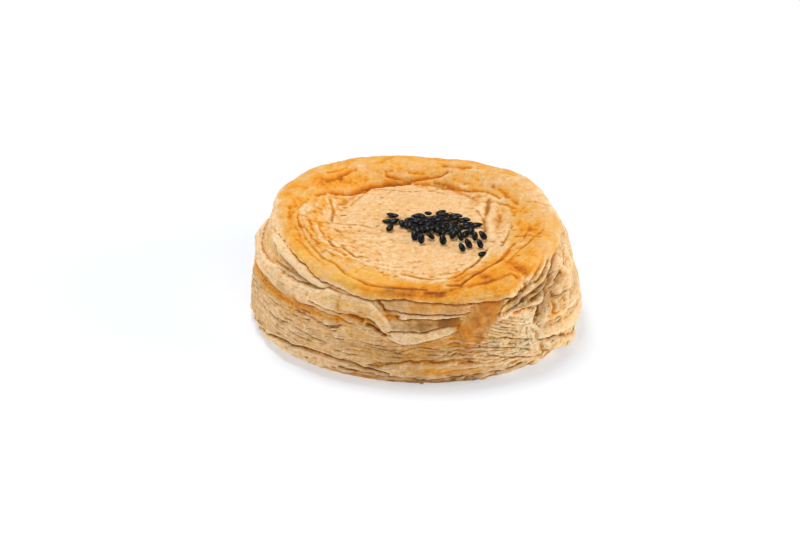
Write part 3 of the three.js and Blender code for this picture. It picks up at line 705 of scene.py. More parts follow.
# Wrinkles and pores of the top, drawn by chance
WRINKLES, PORES = 46, 46
WRINKLE_SHARES = (0.5, 0.82)  # shares of the plan radius that they lie at
WRINKLE_LENGTHS, WRINKLE_RADIUS = (2.5, 8.0), 35.0
WRINKLE_TILT, WRINKLE_BOW = 0.03, 0.012
WRINKLE_DEPTHS, WRINKLE_WIDTHS = (0.08, 0.3), (0.4, 0.7)
PORE_REACH, PORE_SIZES, PORE_DEPTHS = 36, (0.25, 0.5), (0.3, 1.0)
PORE_LIFT = 0.35  # depth in millimetres of the deepest pore
wrinkles = []
for n in range(WRINKLES):
    turn = chance.uniform(-math.pi, math.pi)
    share = chance.uniform(*WRINKLE_SHARES)
    sweep = chance.uniform(*WRINKLE_LENGTHS) / WRINKLE_RADIUS
    tilt_in = chance.normal(0, WRINKLE_TILT)
    bow = chance.normal(0, WRINKLE_BOW)
    line = []
    for s in (-1, -0.3, 0.4, 1):
        r = (share + tilt_in * s + bow * (1 - s * s)) * plan_radius(turn + s * sweep)
        line.append((r * math.sin(turn + s * sweep), -r * math.cos(turn + s * sweep)))
    wrinkles.append((chance.uniform(*WRINKLE_DEPTHS), chance.uniform(*WRINKLE_WIDTHS), 0.0, line))
pores = []
for n in range(PORES):
    turn = chance.uniform(-math.pi, math.pi)
    r = PORE_REACH * math.sqrt(chance.uniform(0, 1))
    size = chance.uniform(*PORE_SIZES)
    pores.append((r * math.sin(turn), -r * math.cos(turn), size, chance.uniform(*PORE_DEPTHS)))
CREASE_SHADE, WRINKLE_SHADE = 1.2, 0.4


def top_marks(x, y):
    """Relief, painted shade of creases and pores, and extra browning of the top at places in plan."""
    raised, crease_shades, browned = (np.zeros(np.shape(x)) for n in range(3))
    for painted_shade, folds in ((CREASE_SHADE, CREASES), (WRINKLE_SHADE, wrinkles)):
        for depth, width, lip_lift, line in folds:
            gap = distance_to(line, x, y)
            outer = np.hypot(x, y) > np.hypot(*line[len(line) // 2])
            near = bell(gap, width)
            raised += lip_lift * (bell(gap - 1.6 * width, 2.0 * width) * outer) - depth * near
            crease_shades = np.maximum(crease_shades, near * min(1, painted_shade * depth))
    for dent_x, dent_y, size, lift in DENTS:
        raised += lift * np.exp(-(((x - dent_x) ** 2 + (y - dent_y) ** 2) / size ** 2))
    for width, amount, line in BROWNINGS:
        browned += amount * bell(distance_to(line, x, y), width)
    for pore_x, pore_y, size, depth in pores:
        near = depth * bell(np.hypot(0.7 * (x - pore_x), y - pore_y), size)
        raised -= PORE_LIFT * near
        crease_shades = np.maximum(crease_shades, near)
    return raised, crease_shades, browned


# The top's marks carried over the shoulder on to the side
SHOULDER_LEVELS = (0.9, 0.95)
CREASE_TOAST = 0.2  # how much more baked a crease is
crest_relief = relief[-1].copy()
shoulder = smooth_step(level, *SHOULDER_LEVELS)
marked = level > SHOULDER_LEVELS[0]
mark_relief, mark_crease_shade, mark_toast = top_marks(form[..., 0][marked], form[..., 1][marked])
shoulder_toast = np.zeros(level.shape)
relief[marked] += shoulder[marked] * mark_relief
crease_shade[marked] = np.maximum(crease_shade[marked], 0.5 * shoulder[marked] * mark_crease_shade)
shoulder_toast[marked] = shoulder[marked] * (mark_toast + CREASE_TOAST * mark_crease_shade)

# The side's points: the form pushed out along its own slope by the relief, lips dropped over their grooves
slope_out = np.interp(level, section_level, section_out)
slope_up = np.interp(level, section_level, section_up)
length = np.hypot(slope_out, slope_up)
outward = np.stack([np.sin(angle) * slope_out, -np.cos(angle) * slope_out, slope_up], -1) / length[..., None]
side_points = form + outward * relief[..., None]
side_points[..., 2] = np.maximum(side_points[..., 2] - drop, 0)
side_points[0, :, 2] = 0

# Oven colour of the side: pale dough, tanned at the front, partly as painted shade on the front, away from
# the overhead light, and gold above a line of (angle, level) points.
# The blur is how many millimetres the gold fades over.
GOLD_EDGE = [(-180, 0.88), (-140, 0.9), (-125, 0.95), (-112, 0.985), (-97, 0.996), (-75, 0.995), (-68, 0.988)]
GOLD_EDGE += CAP_EDGE[2:5] + [(-36, 0.94), (-31, 0.935)] + CAP_EDGE[6:15] + [
    (38, 0.84), (43, 0.89), (48, 0.93), (54, 0.93), (61, 0.92), (72, 0.92), (86, 0.945), (94, 0.985),
    (103, 0.996), (112, 0.99), (122, 0.94), (140, 0.88), (180, 0.88)]
GOLD_BLUR = [(-180, 2.5), (-120, 2.5), (-95, 1.6), (-70, 0.8), (36, 0.6), (48, 2.0), (60, 3.0), (180, 2.5)]
PALE_TOAST, TAN_TOAST, GOLD_TOAST = 0.17, 0.18, 0.47
SMEAR_TOAST = 0.54
TAN_ANGLE, TAN_WIDTH = 4, 34
speckle = fractal(form + 50, 4.0)
gold_blur = along(GOLD_BLUR, degrees)
gold_above = way_up(level) - way_up(along(GOLD_EDGE, degrees)) + 1.2 * speckle * (gold_blur > 1)
gold = smooth_step(gold_above / gold_blur, -0.5, 0.5)
tan_and_shade_front = bell(degrees - TAN_ANGLE, TAN_WIDTH)
toast = PALE_TOAST + TAN_TOAST * tan_and_shade_front + 0.05 * speckle
toast = toast + (GOLD_TOAST + 0.1 * speckle - toast) * gold
# Places that baked more or less, patches of painted shade that also brown the dough a little, and yolk that
# ran down from the brush and stained the side yellow: angle, level, half-sizes in both, and amount
HOT_SPOTS = [(-80, 0.56, 24, 0.075, 0.44), (-50, 0.6, 16, 0.055, 0.46), (-35, 0.62, 7, 0.04, 0.2),
             (-24, 0.685, 6, 0.045, 0.36), (10, 0.94, 30, 0.06, 0.08), (-42, 0.04, 28, 0.05, 0.28),
             (-66, 0.9, 16, 0.07, 0.12), (66, 0.22, 16, 0.1, -0.2), (56, 0.46, 6, 0.06, 0.26),
             (-12.6, 0.74, 4, 0.04, 0.15), (9, 0.2, 8, 0.05, 0.25), (24, 0.15, 8, 0.05, 0.15),
             (12, 0.5, 8, 0.05, 0.14), (54, 0.89, 5, 0.04, 0.15), (40, 0.89, 5, 0.04, 0.1),
             (27, 0.845, 5, 0.03, 0.15), (41, 0.33, 5, 0.04, -0.15), (-71, 0.79, 8, 0.04, -0.1),
             (-36, 0.885, 6, 0.03, -0.14), (-50, 0.645, 8, 0.03, 0.15), (56.5, 0.18, 4, 0.035, 0.42),
             (35, 0.45, 12, 0.14, 0.06), (70, 0.5, 10, 0.05, 0.15), (150, 0.5, 30, 0.06, 0.3),
             (-140, 0.48, 24, 0.06, 0.28)]
SHADE_PATCHES = [(-2, 0.36, 26, 0.11, 0.42), (4, 0.86, 17, 0.05, 0.2), (8, 0.05, 36, 0.1, 0.95),
                 (11, 0.18, 15, 0.06, 0.55), (57.5, 0.64, 6, 0.08, 0.7), (60, 0.77, 8, 0.05, 0.35),
                 (53.6, 0.615, 2.6, 0.06, 0.75), (52.4, 0.18, 2.4, 0.03, 0.35), (-49, 0.63, 10, 0.04, 0.62),
                 (-58, 0.675, 6, 0.03, 0.3), (31, 0.805, 6, 0.035, 0.72), (15.6, 0.885, 5, 0.025, 0.35),
                 (20, 0.74, 4, 0.05, 0.3), (24, 0.15, 8, 0.05, 0.35), (14.6, 0.62, 3, 0.04, 0.5),
                 (9, 0.47, 8, 0.04, 0.35), (-24, 0.695, 6, 0.035, 0.8), (20, 0.61, 4, 0.04, 0.25),
                 (55, 0.4, 5, 0.07, 0.2)]
YOLK_STAINS = [(-70, 0.87, 12, 0.05, 0.6), (-46, 0.5, 14, 0.04, 0.35), (-33, 0.78, 8, 0.05, 0.45),
               (-20, 0.69, 7, 0.05, 0.55), (-10, 0.77, 5, 0.03, 0.4), (51, 0.77, 10, 0.07, 0.8),
               (59, 0.63, 8, 0.08, 0.8), (34, 0.44, 11, 0.1, 0.75), (66, 0.3, 10, 0.05, 0.4),
               (57, 0.17, 5, 0.04, 0.7), (150, 0.74, 16, 0.06, 0.5), (215, 0.6, 14, 0.07, 0.55),
               (115, 0.5, 10, 0.06, 0.45)]
YOLK_RIM, YOLK_ANGLE, YOLK_WIDTH = 0.75, -37, 24
for patch in SHADE_PATCHES:
    crease_shade = np.maximum(crease_shade, soft_patch(*patch))
yolk = YOLK_RIM * gold * bell(degrees - YOLK_ANGLE, YOLK_WIDTH)
for stain in YOLK_STAINS:
    yolk = np.maximum(yolk, soft_patch(*stain))
for spot in HOT_SPOTS:
    toast += soft_patch(*spot)
toast += shoulder_toast + strap_bake
toast += (SMEAR_TOAST + 0.1 * smooth_step(degrees, 22, 30) - toast) * smear
toast -= 0.2 * smooth_step(level, 0.28, 0.12) * tan_and_shade_front + 0.2 * foot * chips
toast += CREASE_TOAST * crease_shade

# The top: rings of points from the crest in to the centre, with the rim's inner slope and its creases
ring_counts = range(TOP_RINGS - 1, 0, -1)
ring_index = np.concatenate([np.full(8 * k, k) for k in ring_counts] + [[0]])
ring_angle = np.concatenate([np.linspace(-180, 180, 8 * k, endpoint=False) for k in ring_counts] + [[0.0]])
top_share = CREST_SHARE * (ring_index / TOP_RINGS) ** 0.8
top_angle = np.radians(ring_angle)
# Where the rim starts to rise, where its gold starts and how softly, as (angle, share of the plan radius)
RISE_START = [(-180, 0.62), (-150, 0.6), (-120, 0.5), (-90, 0.42), (-45, 0.42), (0, 0.5), (30, 0.5),
              (60, 0.45), (90, 0.46), (120, 0.5), (150, 0.58), (180, 0.62)]
GOLD_START = [(-180, 0.63), (-135, 0.58), (-90, 0.55), (-60, 0.56), (-30, 0.65), (0, 0.73), (20, 0.72),
              (47, 0.66), (74, 0.6), (95, 0.57), (120, 0.56), (135, 0.58), (180, 0.63)]
GOLD_SOFT = [(-180, 0.03), (-120, 0.08), (-90, 0.15), (-45, 0.13), (0, 0.04), (45, 0.05), (90, 0.08),
             (130, 0.05), (180, 0.03)]


def top_height(at, share):
    """Height of the top: a flat middle and a rim that rises gently, or out of a crease at the back."""
    start = along(RISE_START, np.degrees(at))
    t = np.clip((share - start) / (CREST_SHARE - start), 0, 1)
    creased_in = smooth_step(-np.cos(at), 0.2, 0.9)
    rise = creased_in * np.sin(t * math.pi / 2) + (1 - creased_in) * t * t * (3 - 2 * t)
    dome = DISC_DOME * np.maximum(0, 1 - (share / start) ** 2)
    return DISC_HEIGHT + (rim_height(at) - DISC_HEIGHT) * rise + dome


TOP_LUMP, TOP_LUMP_SIZE = 0.35, 9.0
TOP_GRAIN_SIZE, TOP_CRINKLE_SIZE = 1.9, 3.0
ROUGH_ANGLE, ROUGH_WIDTH = -60, 50
top_x = top_share * plan_radius(top_angle) * np.sin(top_angle)
top_y = -top_share * plan_radius(top_angle) * np.cos(top_angle)
top_form = np.stack([top_x, top_y, top_height(top_angle, top_share)], -1)
top_relief, top_crease_shade, top_browning = top_marks(top_x, top_y)
rim_part = smooth_step(top_share, 0.5, 0.7)
crest_here = np.interp(ring_angle, column_angles, crest_relief, period=360)
top_relief += crest_here * smooth_step(top_share, 0.6, CREST_SHARE)
lumps = TOP_LUMP * fractal(top_form + 20, TOP_LUMP_SIZE)
top_relief += lumps * (0.35 + 0.65 * rim_part) * smooth_step(top_share, CREST_SHARE, 0.66)
rough_part = bell(ring_angle - ROUGH_ANGLE, ROUGH_WIDTH)
top_relief += (0.12 + 0.08 * rough_part) * fractal(top_form + 40, TOP_GRAIN_SIZE)
top_crinkle = (0.06 + 0.1 * rim_part) * crinkled(top_form + 60, TOP_CRINKLE_SIZE)
top_relief += top_crinkle * smooth_step(top_share, CREST_SHARE, 0.72)
# Dough layers that show as rings round the rim, most on the left
RING_PITCH, RING_LIFT, RING_VALLEY = 2.3, 0.34, 0.3
LEFT_ANGLE, LEFT_WIDTH = -68, 52
left_part = bell(ring_angle - LEFT_ANGLE, LEFT_WIDTH)
inward = (CREST_SHARE - top_share) * MEAN_RADIUS
inward = inward + 1.5 * fractal(top_form + 80, 10.0) + 0.5 * fractal(top_form + 85, 3.5)
ring_number = np.floor(inward / RING_PITCH)
ring_part = inward / RING_PITCH - ring_number
ring_edge = np.stack([0.25 * top_form[:, 0], 0.25 * top_form[:, 1], 5.3 * ring_number], -1)
ring_shows = smooth_step(fractal(ring_edge, 2.0, 2), -0.3, 0.4)
ring_layers = (0.25 + 0.75 * left_part) * smooth_step(top_share, 0.46, 0.6)
ring_layers = ring_layers * smooth_step(top_share, CREST_SHARE, 0.7)
ring_crest = np.sqrt(np.clip(4 * ring_part * (1 - ring_part), 0, 1)) * ring_shows
to_ring_valley = np.minimum(ring_part, 1 - ring_part) * RING_PITCH
ring_valley = ring_layers * ring_shows * bell(to_ring_valley, RING_VALLEY)
top_relief += RING_LIFT * ring_layers * (ring_crest - 0.5)
top_points = top_form.copy()
top_points[:, 2] += top_relief

DISC_TOAST, RING_TOAST = 0.2, 0.26
gold_start = along(GOLD_START, ring_angle)
gold_soft = along(GOLD_SOFT, ring_angle)
top_speckle = fractal(top_form + 50, 4.0)
ringed = smooth_step(top_share + 0.03 * top_speckle, gold_start - gold_soft, gold_start + gold_soft)
top_toast = DISC_TOAST + RING_TOAST * ringed + (0.08 + 0.06 * ringed) * top_speckle
top_toast = top_toast + top_browning + CREASE_TOAST * top_crease_shade
top_toast += 0.2 * ring_valley - 0.17 * ring_layers * ring_crest

# One closed mesh of base, side and top
base_angle = np.radians(column_angles)
base_rings = []
for share in BASE_SHARES:
    r = share * plan_radius(base_angle)
    base_rings.append(np.stack([r * np.sin(base_angle), -r * np.cos(base_angle), 0 * r], -1))
points = np.concatenate([[[0.0, 0.0, 0.0]], *base_rings, side_points.reshape(-1, 3), top_points])
side_start = 1 + COLUMNS * len(base_rings)
top_start = side_start + COLUMNS * (SIDE_ROWS + 1)


def row_quads(start, count):
    """Four-sided faces between rows of columns."""
    row, i = np.meshgrid(np.arange(count), columns, indexing="ij")
    after = (i + 1) % COLUMNS
    low = start + row * COLUMNS
    return np.stack([low + i, low + after, low + COLUMNS + after, low + COLUMNS + i], -1).reshape(-1, 4)


base_fan = np.stack([0 * columns, 1 + (columns + 1) % COLUMNS, 1 + columns], -1)
base_quads = row_quads(1, len(base_rings))
side_quads = row_quads(side_start, SIDE_ROWS)
top_triangles = []
outer_start, inner_start = top_start - COLUMNS, top_start
for k in range(TOP_RINGS, 0, -1):
    outer_count, inner_count = 8 * k, max(8 * (k - 1), 1)
    for octant in range(8):
        for j in range(k):
            a = outer_start + octant * k + j
            b = outer_start + (octant * k + j + 1) % outer_count
            c = inner_start + (octant * (k - 1) + j) % inner_count
            top_triangles.append((a, b, c))
            if j < k - 1:
                d = inner_start + (octant * (k - 1) + j + 1) % inner_count
                top_triangles.append((c, b, d))
    outer_start, inner_start = inner_start, inner_start + inner_count
top_triangles = np.array(top_triangles)

MM = 0.001
SHARP_ANGLE = 55
mesh = bpy.data.meshes.new("pastry_crust")
faces = base_fan.tolist() + base_quads.tolist() + side_quads.tolist() + top_triangles.tolist()
mesh.from_pydata((points * MM).tolist(), [], faces)
mesh.update()
mesh.polygons.foreach_set("use_smooth", [True] * len(mesh.polygons))
mesh.set_sharp_from_angle(angle=math.radians(SHARP_ANGLE))
pastry = bpy.data.objects.new("pastry_crust", mesh)
bpy.context.scene.collection.objects.link(pastry)

# The crust unwrapped on one square sheet: top and base side by side, and the side below them in two strips
SHEET = 176.0
TOP_CENTRE, BASE_CENTRE = (40.0, 130.0), (128.0, 130.0)
STRIP_LENGTH, STRIP_HEIGHT = 172.0, 38.0
STRIP_LEFT, STRIP_LOWS = 2.0, (2.0, 42.0)
half_columns = COLUMNS // 2
flat_base = points[np.concatenate([base_fan.ravel(), base_quads.ravel()]), :2] * (-1, 1) + BASE_CENTRE
row, i = np.meshgrid(np.arange(SIDE_ROWS), columns, indexing="ij")
strip = i // half_columns
left = STRIP_LEFT + (i % half_columns) * STRIP_LENGTH / half_columns
right = left + STRIP_LENGTH / half_columns
bottom = np.array(STRIP_LOWS)[strip] + row * STRIP_HEIGHT / SIDE_ROWS
over = bottom + STRIP_HEIGHT / SIDE_ROWS
flat_side = np.stack([left, bottom, right, bottom, right, over, left, over], -1).reshape(-1, 2)
flat_top = points[top_triangles.ravel(), :2] + TOP_CENTRE
sheet_map = mesh.uv_layers.new(name="OFBake")
sheet_map.data.foreach_set("uv", (np.concatenate([flat_base, flat_side, flat_top]) / SHEET).ravel())

# How far each point lies in a groove or stands on a ridge: the mesh compared with smoothed copies of itself
FINE_ROUNDS, BROAD_ROUNDS = 5, 45
DEEP_GROOVE, DEEP_HOLLOW = 0.12, 0.5
ends = np.zeros(len(mesh.edges) * 2, np.int32)
mesh.edges.foreach_get("vertices", ends)
ends = ends.reshape(-1, 2)
normals = np.zeros(len(points) * 3)
mesh.vertices.foreach_get("normal", normals)
normals = normals.reshape(-1, 3)
from_ends, to_ends = np.r_[ends[:, 0], ends[:, 1]], np.r_[ends[:, 1], ends[:, 0]]
neighbours = np.bincount(from_ends, minlength=len(points))


def smoothed(shape, rounds):
    """Points each drawn halfway to the middle of their neighbours, a number of times."""
    for n in range(rounds):
        summed = [np.bincount(from_ends, shape[to_ends, axis], len(points)) for axis in range(3)]
        shape = 0.5 * shape + 0.5 * np.stack(summed, -1) / neighbours[:, None]
    return shape


fine_shape = smoothed(points, FINE_ROUNDS)
broad_shape = smoothed(fine_shape, BROAD_ROUNDS)
groove = np.clip(np.einsum("ij,ij->i", fine_shape - points, normals) / DEEP_GROOVE, -1, 1)
hollow = np.clip(np.einsum("ij,ij->i", broad_shape - fine_shape, normals) / DEEP_HOLLOW, -1, 1)


def store(name, of_base, of_side, of_top):
    """Keeps a value for every point of the crust, for its material to read."""
    values = np.concatenate([np.full(side_start, of_base), np.ravel(of_side), np.ravel(of_top)])
    mesh.attributes.new(name, "FLOAT", "POINT").data.foreach_set("value", values.astype(np.float32))


TOP_YOLK_ANGLE, TOP_YOLK_WIDTH = -38, 36
MOTTLED_ANGLE, MOTTLED_WIDTH = -50, 60
on_side, on_top = slice(side_start, top_start), slice(top_start, None)
nowhere = np.zeros(len(top_x))
store("groove", 0.0, groove[on_side], groove[on_top])
store("hollow", 0.0, hollow[on_side], hollow[on_top])
store("toast", 0.5, toast, top_toast)
# Painted shade of the side, and of the top's creases, pores and the valleys between its rings
store("crease_shade", 0.0, crease_shade, np.maximum(0.5 * top_crease_shade, 0.3 * ring_valley))
store("smear", 0.0, smear, nowhere)
side_streaks = np.clip(0.3 + layered, 0, 1) * (1 - smear) * (1 - 0.3 * fanned)
back_streaks = 0.3 * smooth_step(top_y, 12, 20) * (1 - smooth_step(ringed, 0.2, 0.6))
ring_streaks = 0.12 * smooth_step(ringed, 0.7, 1.0) + 0.25 * ring_layers * left_part
store("layered", 0.0, side_streaks, ring_streaks + back_streaks)
store("valley_shade", 0.0, valley_shade, nowhere)
top_yolk = bell(ring_angle - TOP_YOLK_ANGLE, TOP_YOLK_WIDTH)
store("yolk", 0.0, yolk, 0.7 * smooth_step(top_share, 0.64, 0.74) * top_yolk)
store("grainy", 1.0, 1 - 0.5 * gold - 0.35 * smear, 0.9 - 0.3 * ringed)
fanned_highlights = 0.9 * crest ** 5 * edge_shows * fanned
# Painted highlights on strap edges, ropes, strand crests and the crests of fanned layers, less on the gold
store("edge_highlight", 0.0, np.maximum.reduce([0.7 * edge_highlight * (1 - gold), strand, fanned_highlights]), nowhere)
store("fray", 0.0, fray, nowhere)
front_left = bell(ring_angle - MOTTLED_ANGLE, MOTTLED_WIDTH)
store("mottled", 0.3, 0.35 * (1 - smear), 0.2 + 0.6 * front_left)
store("patched", 1.0, np.ones(level.shape), 0.5 + 0.5 * front_left)
crest_flow = np.interp(ring_angle, column_angles, layer_height[-1], period=360)
ring_flow = crest_flow + (CREST_SHARE - top_share) * MEAN_RADIUS
flows_round = (ringed > 0.5) | ((left_part > 0.3) & (top_share > 0.4))
store("layer_height", 0.0, layer_height, np.where(flows_round, ring_flow, top_y))

# Crust material: colour from how far each point is baked, with flecks, layer streaks, painted shade in the
# grooves and painted highlights on the edges and ridges
crust = bpy.data.materials.new("baked_crust")
crust.use_nodes = True
nodes, links = crust.node_tree.nodes, crust.node_tree.links
shader = nodes["Principled BSDF"]


def node(kind, **settings):
    made = nodes.new(kind)
    for name, value in settings.items():
        setattr(made, name, value)
    return made


def plug(value, socket):
    """Sets a socket to a constant, or links it to another node's output."""
    if isinstance(value, tuple):
        socket.default_value = (*value, 1.0)
    elif isinstance(value, (int, float)):
        socket.default_value = value
    else:
        links.new(value, socket)


def value_of(name):
    return node("ShaderNodeAttribute", attribute_name=name).outputs["Fac"]


def math_of(operation, *values, clamp=False):
    made = node("ShaderNodeMath", operation=operation, use_clamp=clamp)
    for socket, value in zip(made.inputs, values):
        plug(value, socket)
    return made.outputs[0]


def times(first, second, clamp=False):
    return math_of("MULTIPLY", first, second, clamp=clamp)


def total(*values):
    result = values[0]
    for value in values[1:]:
        result = math_of("ADD", result, value)
    return result


def centred(value, gain):
    """A texture's value as a swing about zero."""
    return times(math_of("SUBTRACT", value, 0.5), gain)


def ranged(value, from_low, from_high, to_low, to_high):
    """A value carried smoothly from one range to another, and held at its ends."""
    made = node("ShaderNodeMapRange", interpolation_type="SMOOTHSTEP")
    for socket, setting in zip(made.inputs, (value, from_low, from_high, to_low, to_high)):
        plug(setting, socket)
    return made.outputs[0]


def cloud(vector, scale, detail=4.0, roughness=0.6):
    made = node("ShaderNodeTexNoise")
    for name, value in (("Vector", vector), ("Scale", scale), ("Detail", detail), ("Roughness", roughness)):
        plug(value, made.inputs[name])
    return made.outputs[0]


def blend_colour(kind, share, under, over):
    made = node("ShaderNodeMix", data_type="RGBA", blend_type=kind)
    for name, value in (("Factor_Float", share), ("A_Color", under), ("B_Color", over)):
        plug(value, next(s for s in made.inputs if s.identifier == name))
    return next(s for s in made.outputs if s.identifier == "Result_Color")


def colour_steps(value, steps):
    made = node("ShaderNodeValToRGB")
    links.new(value, made.inputs[0])
    elements = made.color_ramp.elements
    while len(elements) < len(steps):
        elements.new(0.5)
    for element, (position, shade) in zip(elements, steps):
        element.position = position
        element.color = (*shade, 1.0)
    return made.outputs[0]


# Colours from raw dough through gold and orange to burnt, by how far it is baked
OVEN_COLOURS = [
    (0.0, (0.93, 0.64, 0.36)),
    (0.12, (0.88, 0.56, 0.28)),
    (0.25, (0.84, 0.505, 0.225)),
    (0.40, (0.83, 0.452, 0.14)),
    (0.50, (0.85, 0.41, 0.078)),
    (0.60, (0.84, 0.335, 0.027)),
    (0.72, (0.76, 0.26, 0.016)),
    (0.86, (0.46, 0.125, 0.010)),
    (1.0, (0.18, 0.05, 0.008)),
]
PALE_BAKED, GOLD_BAKED = 0.36, 0.5  # how far pale dough and gold crust are baked
SMEAR_COLOUR = (0.42, 0.145, 0.031)
YOLK_COLOUR = (0.87, 0.5, 0.09)
# Painted shade: dark brown on pale dough, deep orange-brown on the gold crust
SHADE_COLOUR = (0.18, 0.062, 0.010)
GOLD_SHADE_COLOUR = (0.50, 0.16, 0.010)
WARM_SHADE = (1.0, 0.79, 0.5)
# Colour of the painted highlights on edges and crests; the fray's colour is the pale dry dough's own
HIGHLIGHT_COLOUR, HIGHLIGHT_SHARE = (0.94, 0.71, 0.44), 0.75
FRAY_COLOUR, FRAY_SHARE = (1.0, 0.79, 0.50), 0.85
# Painted highlight on the ridges
RIDGE_HIGHLIGHT_COLOUR = (0.98, 0.74, 0.42)

# Textures: the layers' own direction, blotches where the wash took, and the grain of the dough.
# The scales of those in plain space are lumps to a metre.
MM_IN_METRE = 1000.0
ALONG_LAYERS = 0.2  # how far textures are drawn out along the layers
place = node("ShaderNodeTexCoord").outputs["Object"]
split = node("ShaderNodeSeparateXYZ")
links.new(place, split.inputs[0])


def along_layers(height):
    """Places for a texture that is drawn out along the layers, at a height in them."""
    made = node("ShaderNodeCombineXYZ")
    plug(times(split.outputs[0], MM_IN_METRE * ALONG_LAYERS), made.inputs[0])
    plug(times(split.outputs[1], MM_IN_METRE * ALONG_LAYERS), made.inputs[1])
    plug(height, made.inputs[2])
    return made.outputs[0]


flow = along_layers(value_of("layer_height"))
streaks = cloud(flow, 1.0, 4.0, 0.65)
strands = cloud(flow, 2.3, 3.0, 0.65)
clouds = cloud(place, 110.0, 2.0, 0.5)
blotches = cloud(place, 230.0, 1.5, 0.5)
grit = cloud(place, 900.0, 3.0, 0.7)
grain = cloud(place, 2000.0, 2.0, 0.7)
toast_here, layered_here = value_of("toast"), value_of("layered")
groove_here, hollow_here = value_of("groove"), value_of("hollow")


def layer_lines(pitch, width, seldom):
    """Thin lines between dough layers, each showing along parts of its length."""
    uneven = centred(cloud(place, 170.0, 3.0, 0.6), 1.6)
    in_layers = math_of("DIVIDE", total(value_of("layer_height"), uneven), pitch)
    number = math_of("FLOOR", in_layers)
    off_line = math_of("ABSOLUTE", math_of("SUBTRACT", math_of("SUBTRACT", in_layers, number), 0.5))
    shows = ranged(cloud(along_layers(times(number, 7.3)), 1.0, 3.0, 0.6), seldom, seldom + 0.1, 0.0, 1.0)
    return times(ranged(off_line, 0.5 * width / pitch, 0.0, 0.0, 1.0), shows)


plain = times(layered_here, ranged(toast_here, PALE_BAKED, GOLD_BAKED, 1.0, 0.3))
# Thin lines in the gaps between layers, used below for painted shade and sunk into the bump
lines = times(plain, total(layer_lines(2.1, 0.5, 0.5), times(layer_lines(0.95, 0.4, 0.52), 0.6)))
coarse_mottle = centred(cloud(place, 520.0, 2.5, 0.6), 0.8)
fine_mottle = centred(cloud(place, 1150.0, 2.0, 0.6), 0.6)
mottle = times(total(coarse_mottle, fine_mottle), value_of("mottled"))
patches = times(total(centred(clouds, 0.36), centred(blotches, 0.34)), value_of("patched"))
# Browner in grooves and hollows: partly egg wash that pooled there, partly painted shade
baked = total(toast_here, mottle, patches, times(centred(streaks, 0.15), layered_here),
              times(groove_here, 0.08), times(hollow_here, 0.1))
colour = colour_steps(baked, OVEN_COLOURS)
yolk_share = times(value_of("yolk"), ranged(blotches, 0.38, 0.62, 0.15, 1.0))
smear_patchy = total(0.66, centred(cloud(place, 420.0, 3.0, 0.6), 2.2))
smear_share = times(value_of("smear"), smear_patchy, clamp=True)
for share, shade in ((yolk_share, YOLK_COLOUR), (times(value_of("edge_highlight"), HIGHLIGHT_SHARE), HIGHLIGHT_COLOUR),
                     (times(value_of("fray"), FRAY_SHARE), FRAY_COLOUR), (smear_share, SMEAR_COLOUR)):
    colour = blend_colour("MIX", share, colour, shade)

# Light and dark of the grain. Dark grains are browner, as light that goes into a pore comes out warmer
DARKEST_TONE = 0.35
GREEN_FALL, BLUE_FALL = 1.5, 2.4
layer_tone = times(total(centred(strands, 0.9), centred(streaks, 0.7)), layered_here)
grain_tone = times(total(centred(grain, 0.5), centred(grit, 0.55)), value_of("grainy"))
tone = math_of("MAXIMUM", total(1.0, grain_tone, layer_tone), DARKEST_TONE)
tint = node("ShaderNodeCombineColor")
plug(tone, tint.inputs[0])
plug(math_of("POWER", tone, GREEN_FALL), tint.inputs[1])
plug(math_of("POWER", tone, BLUE_FALL), tint.inputs[2])
colour = blend_colour("MULTIPLY", 1.0, colour, tint.outputs[0])

# Painted warm shade in the hollows, painted highlights on the ridges, and painted brown shade in the deep
# grooves, creases, layer valleys, layer gaps and under the straps, broken along their length
DARKEST_SHADE = 0.92
shaded = ranged(total(hollow_here, groove_here), 0.0, 1.0, 0.0, 0.9)
colour = blend_colour("MULTIPLY", shaded, colour, WARM_SHADE)
ridge_highlight_share = times(ranged(groove_here, -0.08, -0.75, 0.0, 0.5), ranged(toast_here, 0.3, 0.48, 1.0, 0.1))
colour = blend_colour("MIX", ridge_highlight_share, colour, RIDGE_HIGHLIGHT_COLOUR)
broken = ranged(cloud(place, 260.0, 3.0, 0.6), 0.36, 0.58, 0.5, 1.0)
painted_shade = times(broken, total(ranged(groove_here, 0.12, 0.9, 0.0, 0.5), times(value_of("crease_shade"), 0.9),
                           times(value_of("valley_shade"), 0.35), times(lines, 0.4)))
gold_shade_share = ranged(toast_here, PALE_BAKED, GOLD_BAKED, 0.0, 1.0)
shade_colour = blend_colour("MIX", gold_shade_share, SHADE_COLOUR, GOLD_SHADE_COLOUR)
colour = blend_colour("MIX", math_of("MINIMUM", painted_shade, DARKEST_SHADE), colour, shade_colour)
links.new(colour, shader.inputs["Base Color"])

# Matt pale dough and satin egg wash that let a little light in, with a grain too fine for the mesh
links.new(total(ranged(baked, 0.25, 0.6, 0.8, 0.52), centred(grit, 0.2)), shader.inputs["Roughness"])
shader.inputs["Subsurface Weight"].default_value = 0.1
shader.inputs["Subsurface Radius"].default_value = (1.0, 0.5, 0.22)
shader.inputs["Subsurface Scale"].default_value = 0.0015
shader.inputs["Specular IOR Level"].default_value = 0.1
layer_relief = times(total(streaks, times(strands, 0.8)), layered_here)
layer_relief = math_of("SUBTRACT", layer_relief, times(lines, 0.4))
skin_relief = total(times(grain, 0.2), times(grit, 0.38), times(blotches, 0.5))


def rough_skin(height, strength, distance):
    """Gives the shader the relief of a texture, with its depth in metres."""
    bump = node("ShaderNodeBump")
    bump.inputs["Strength"].default_value = strength
    bump.inputs["Distance"].default_value = distance
    links.new(height, bump.inputs["Height"])
    links.new(bump.outputs[0], shader.inputs["Normal"])


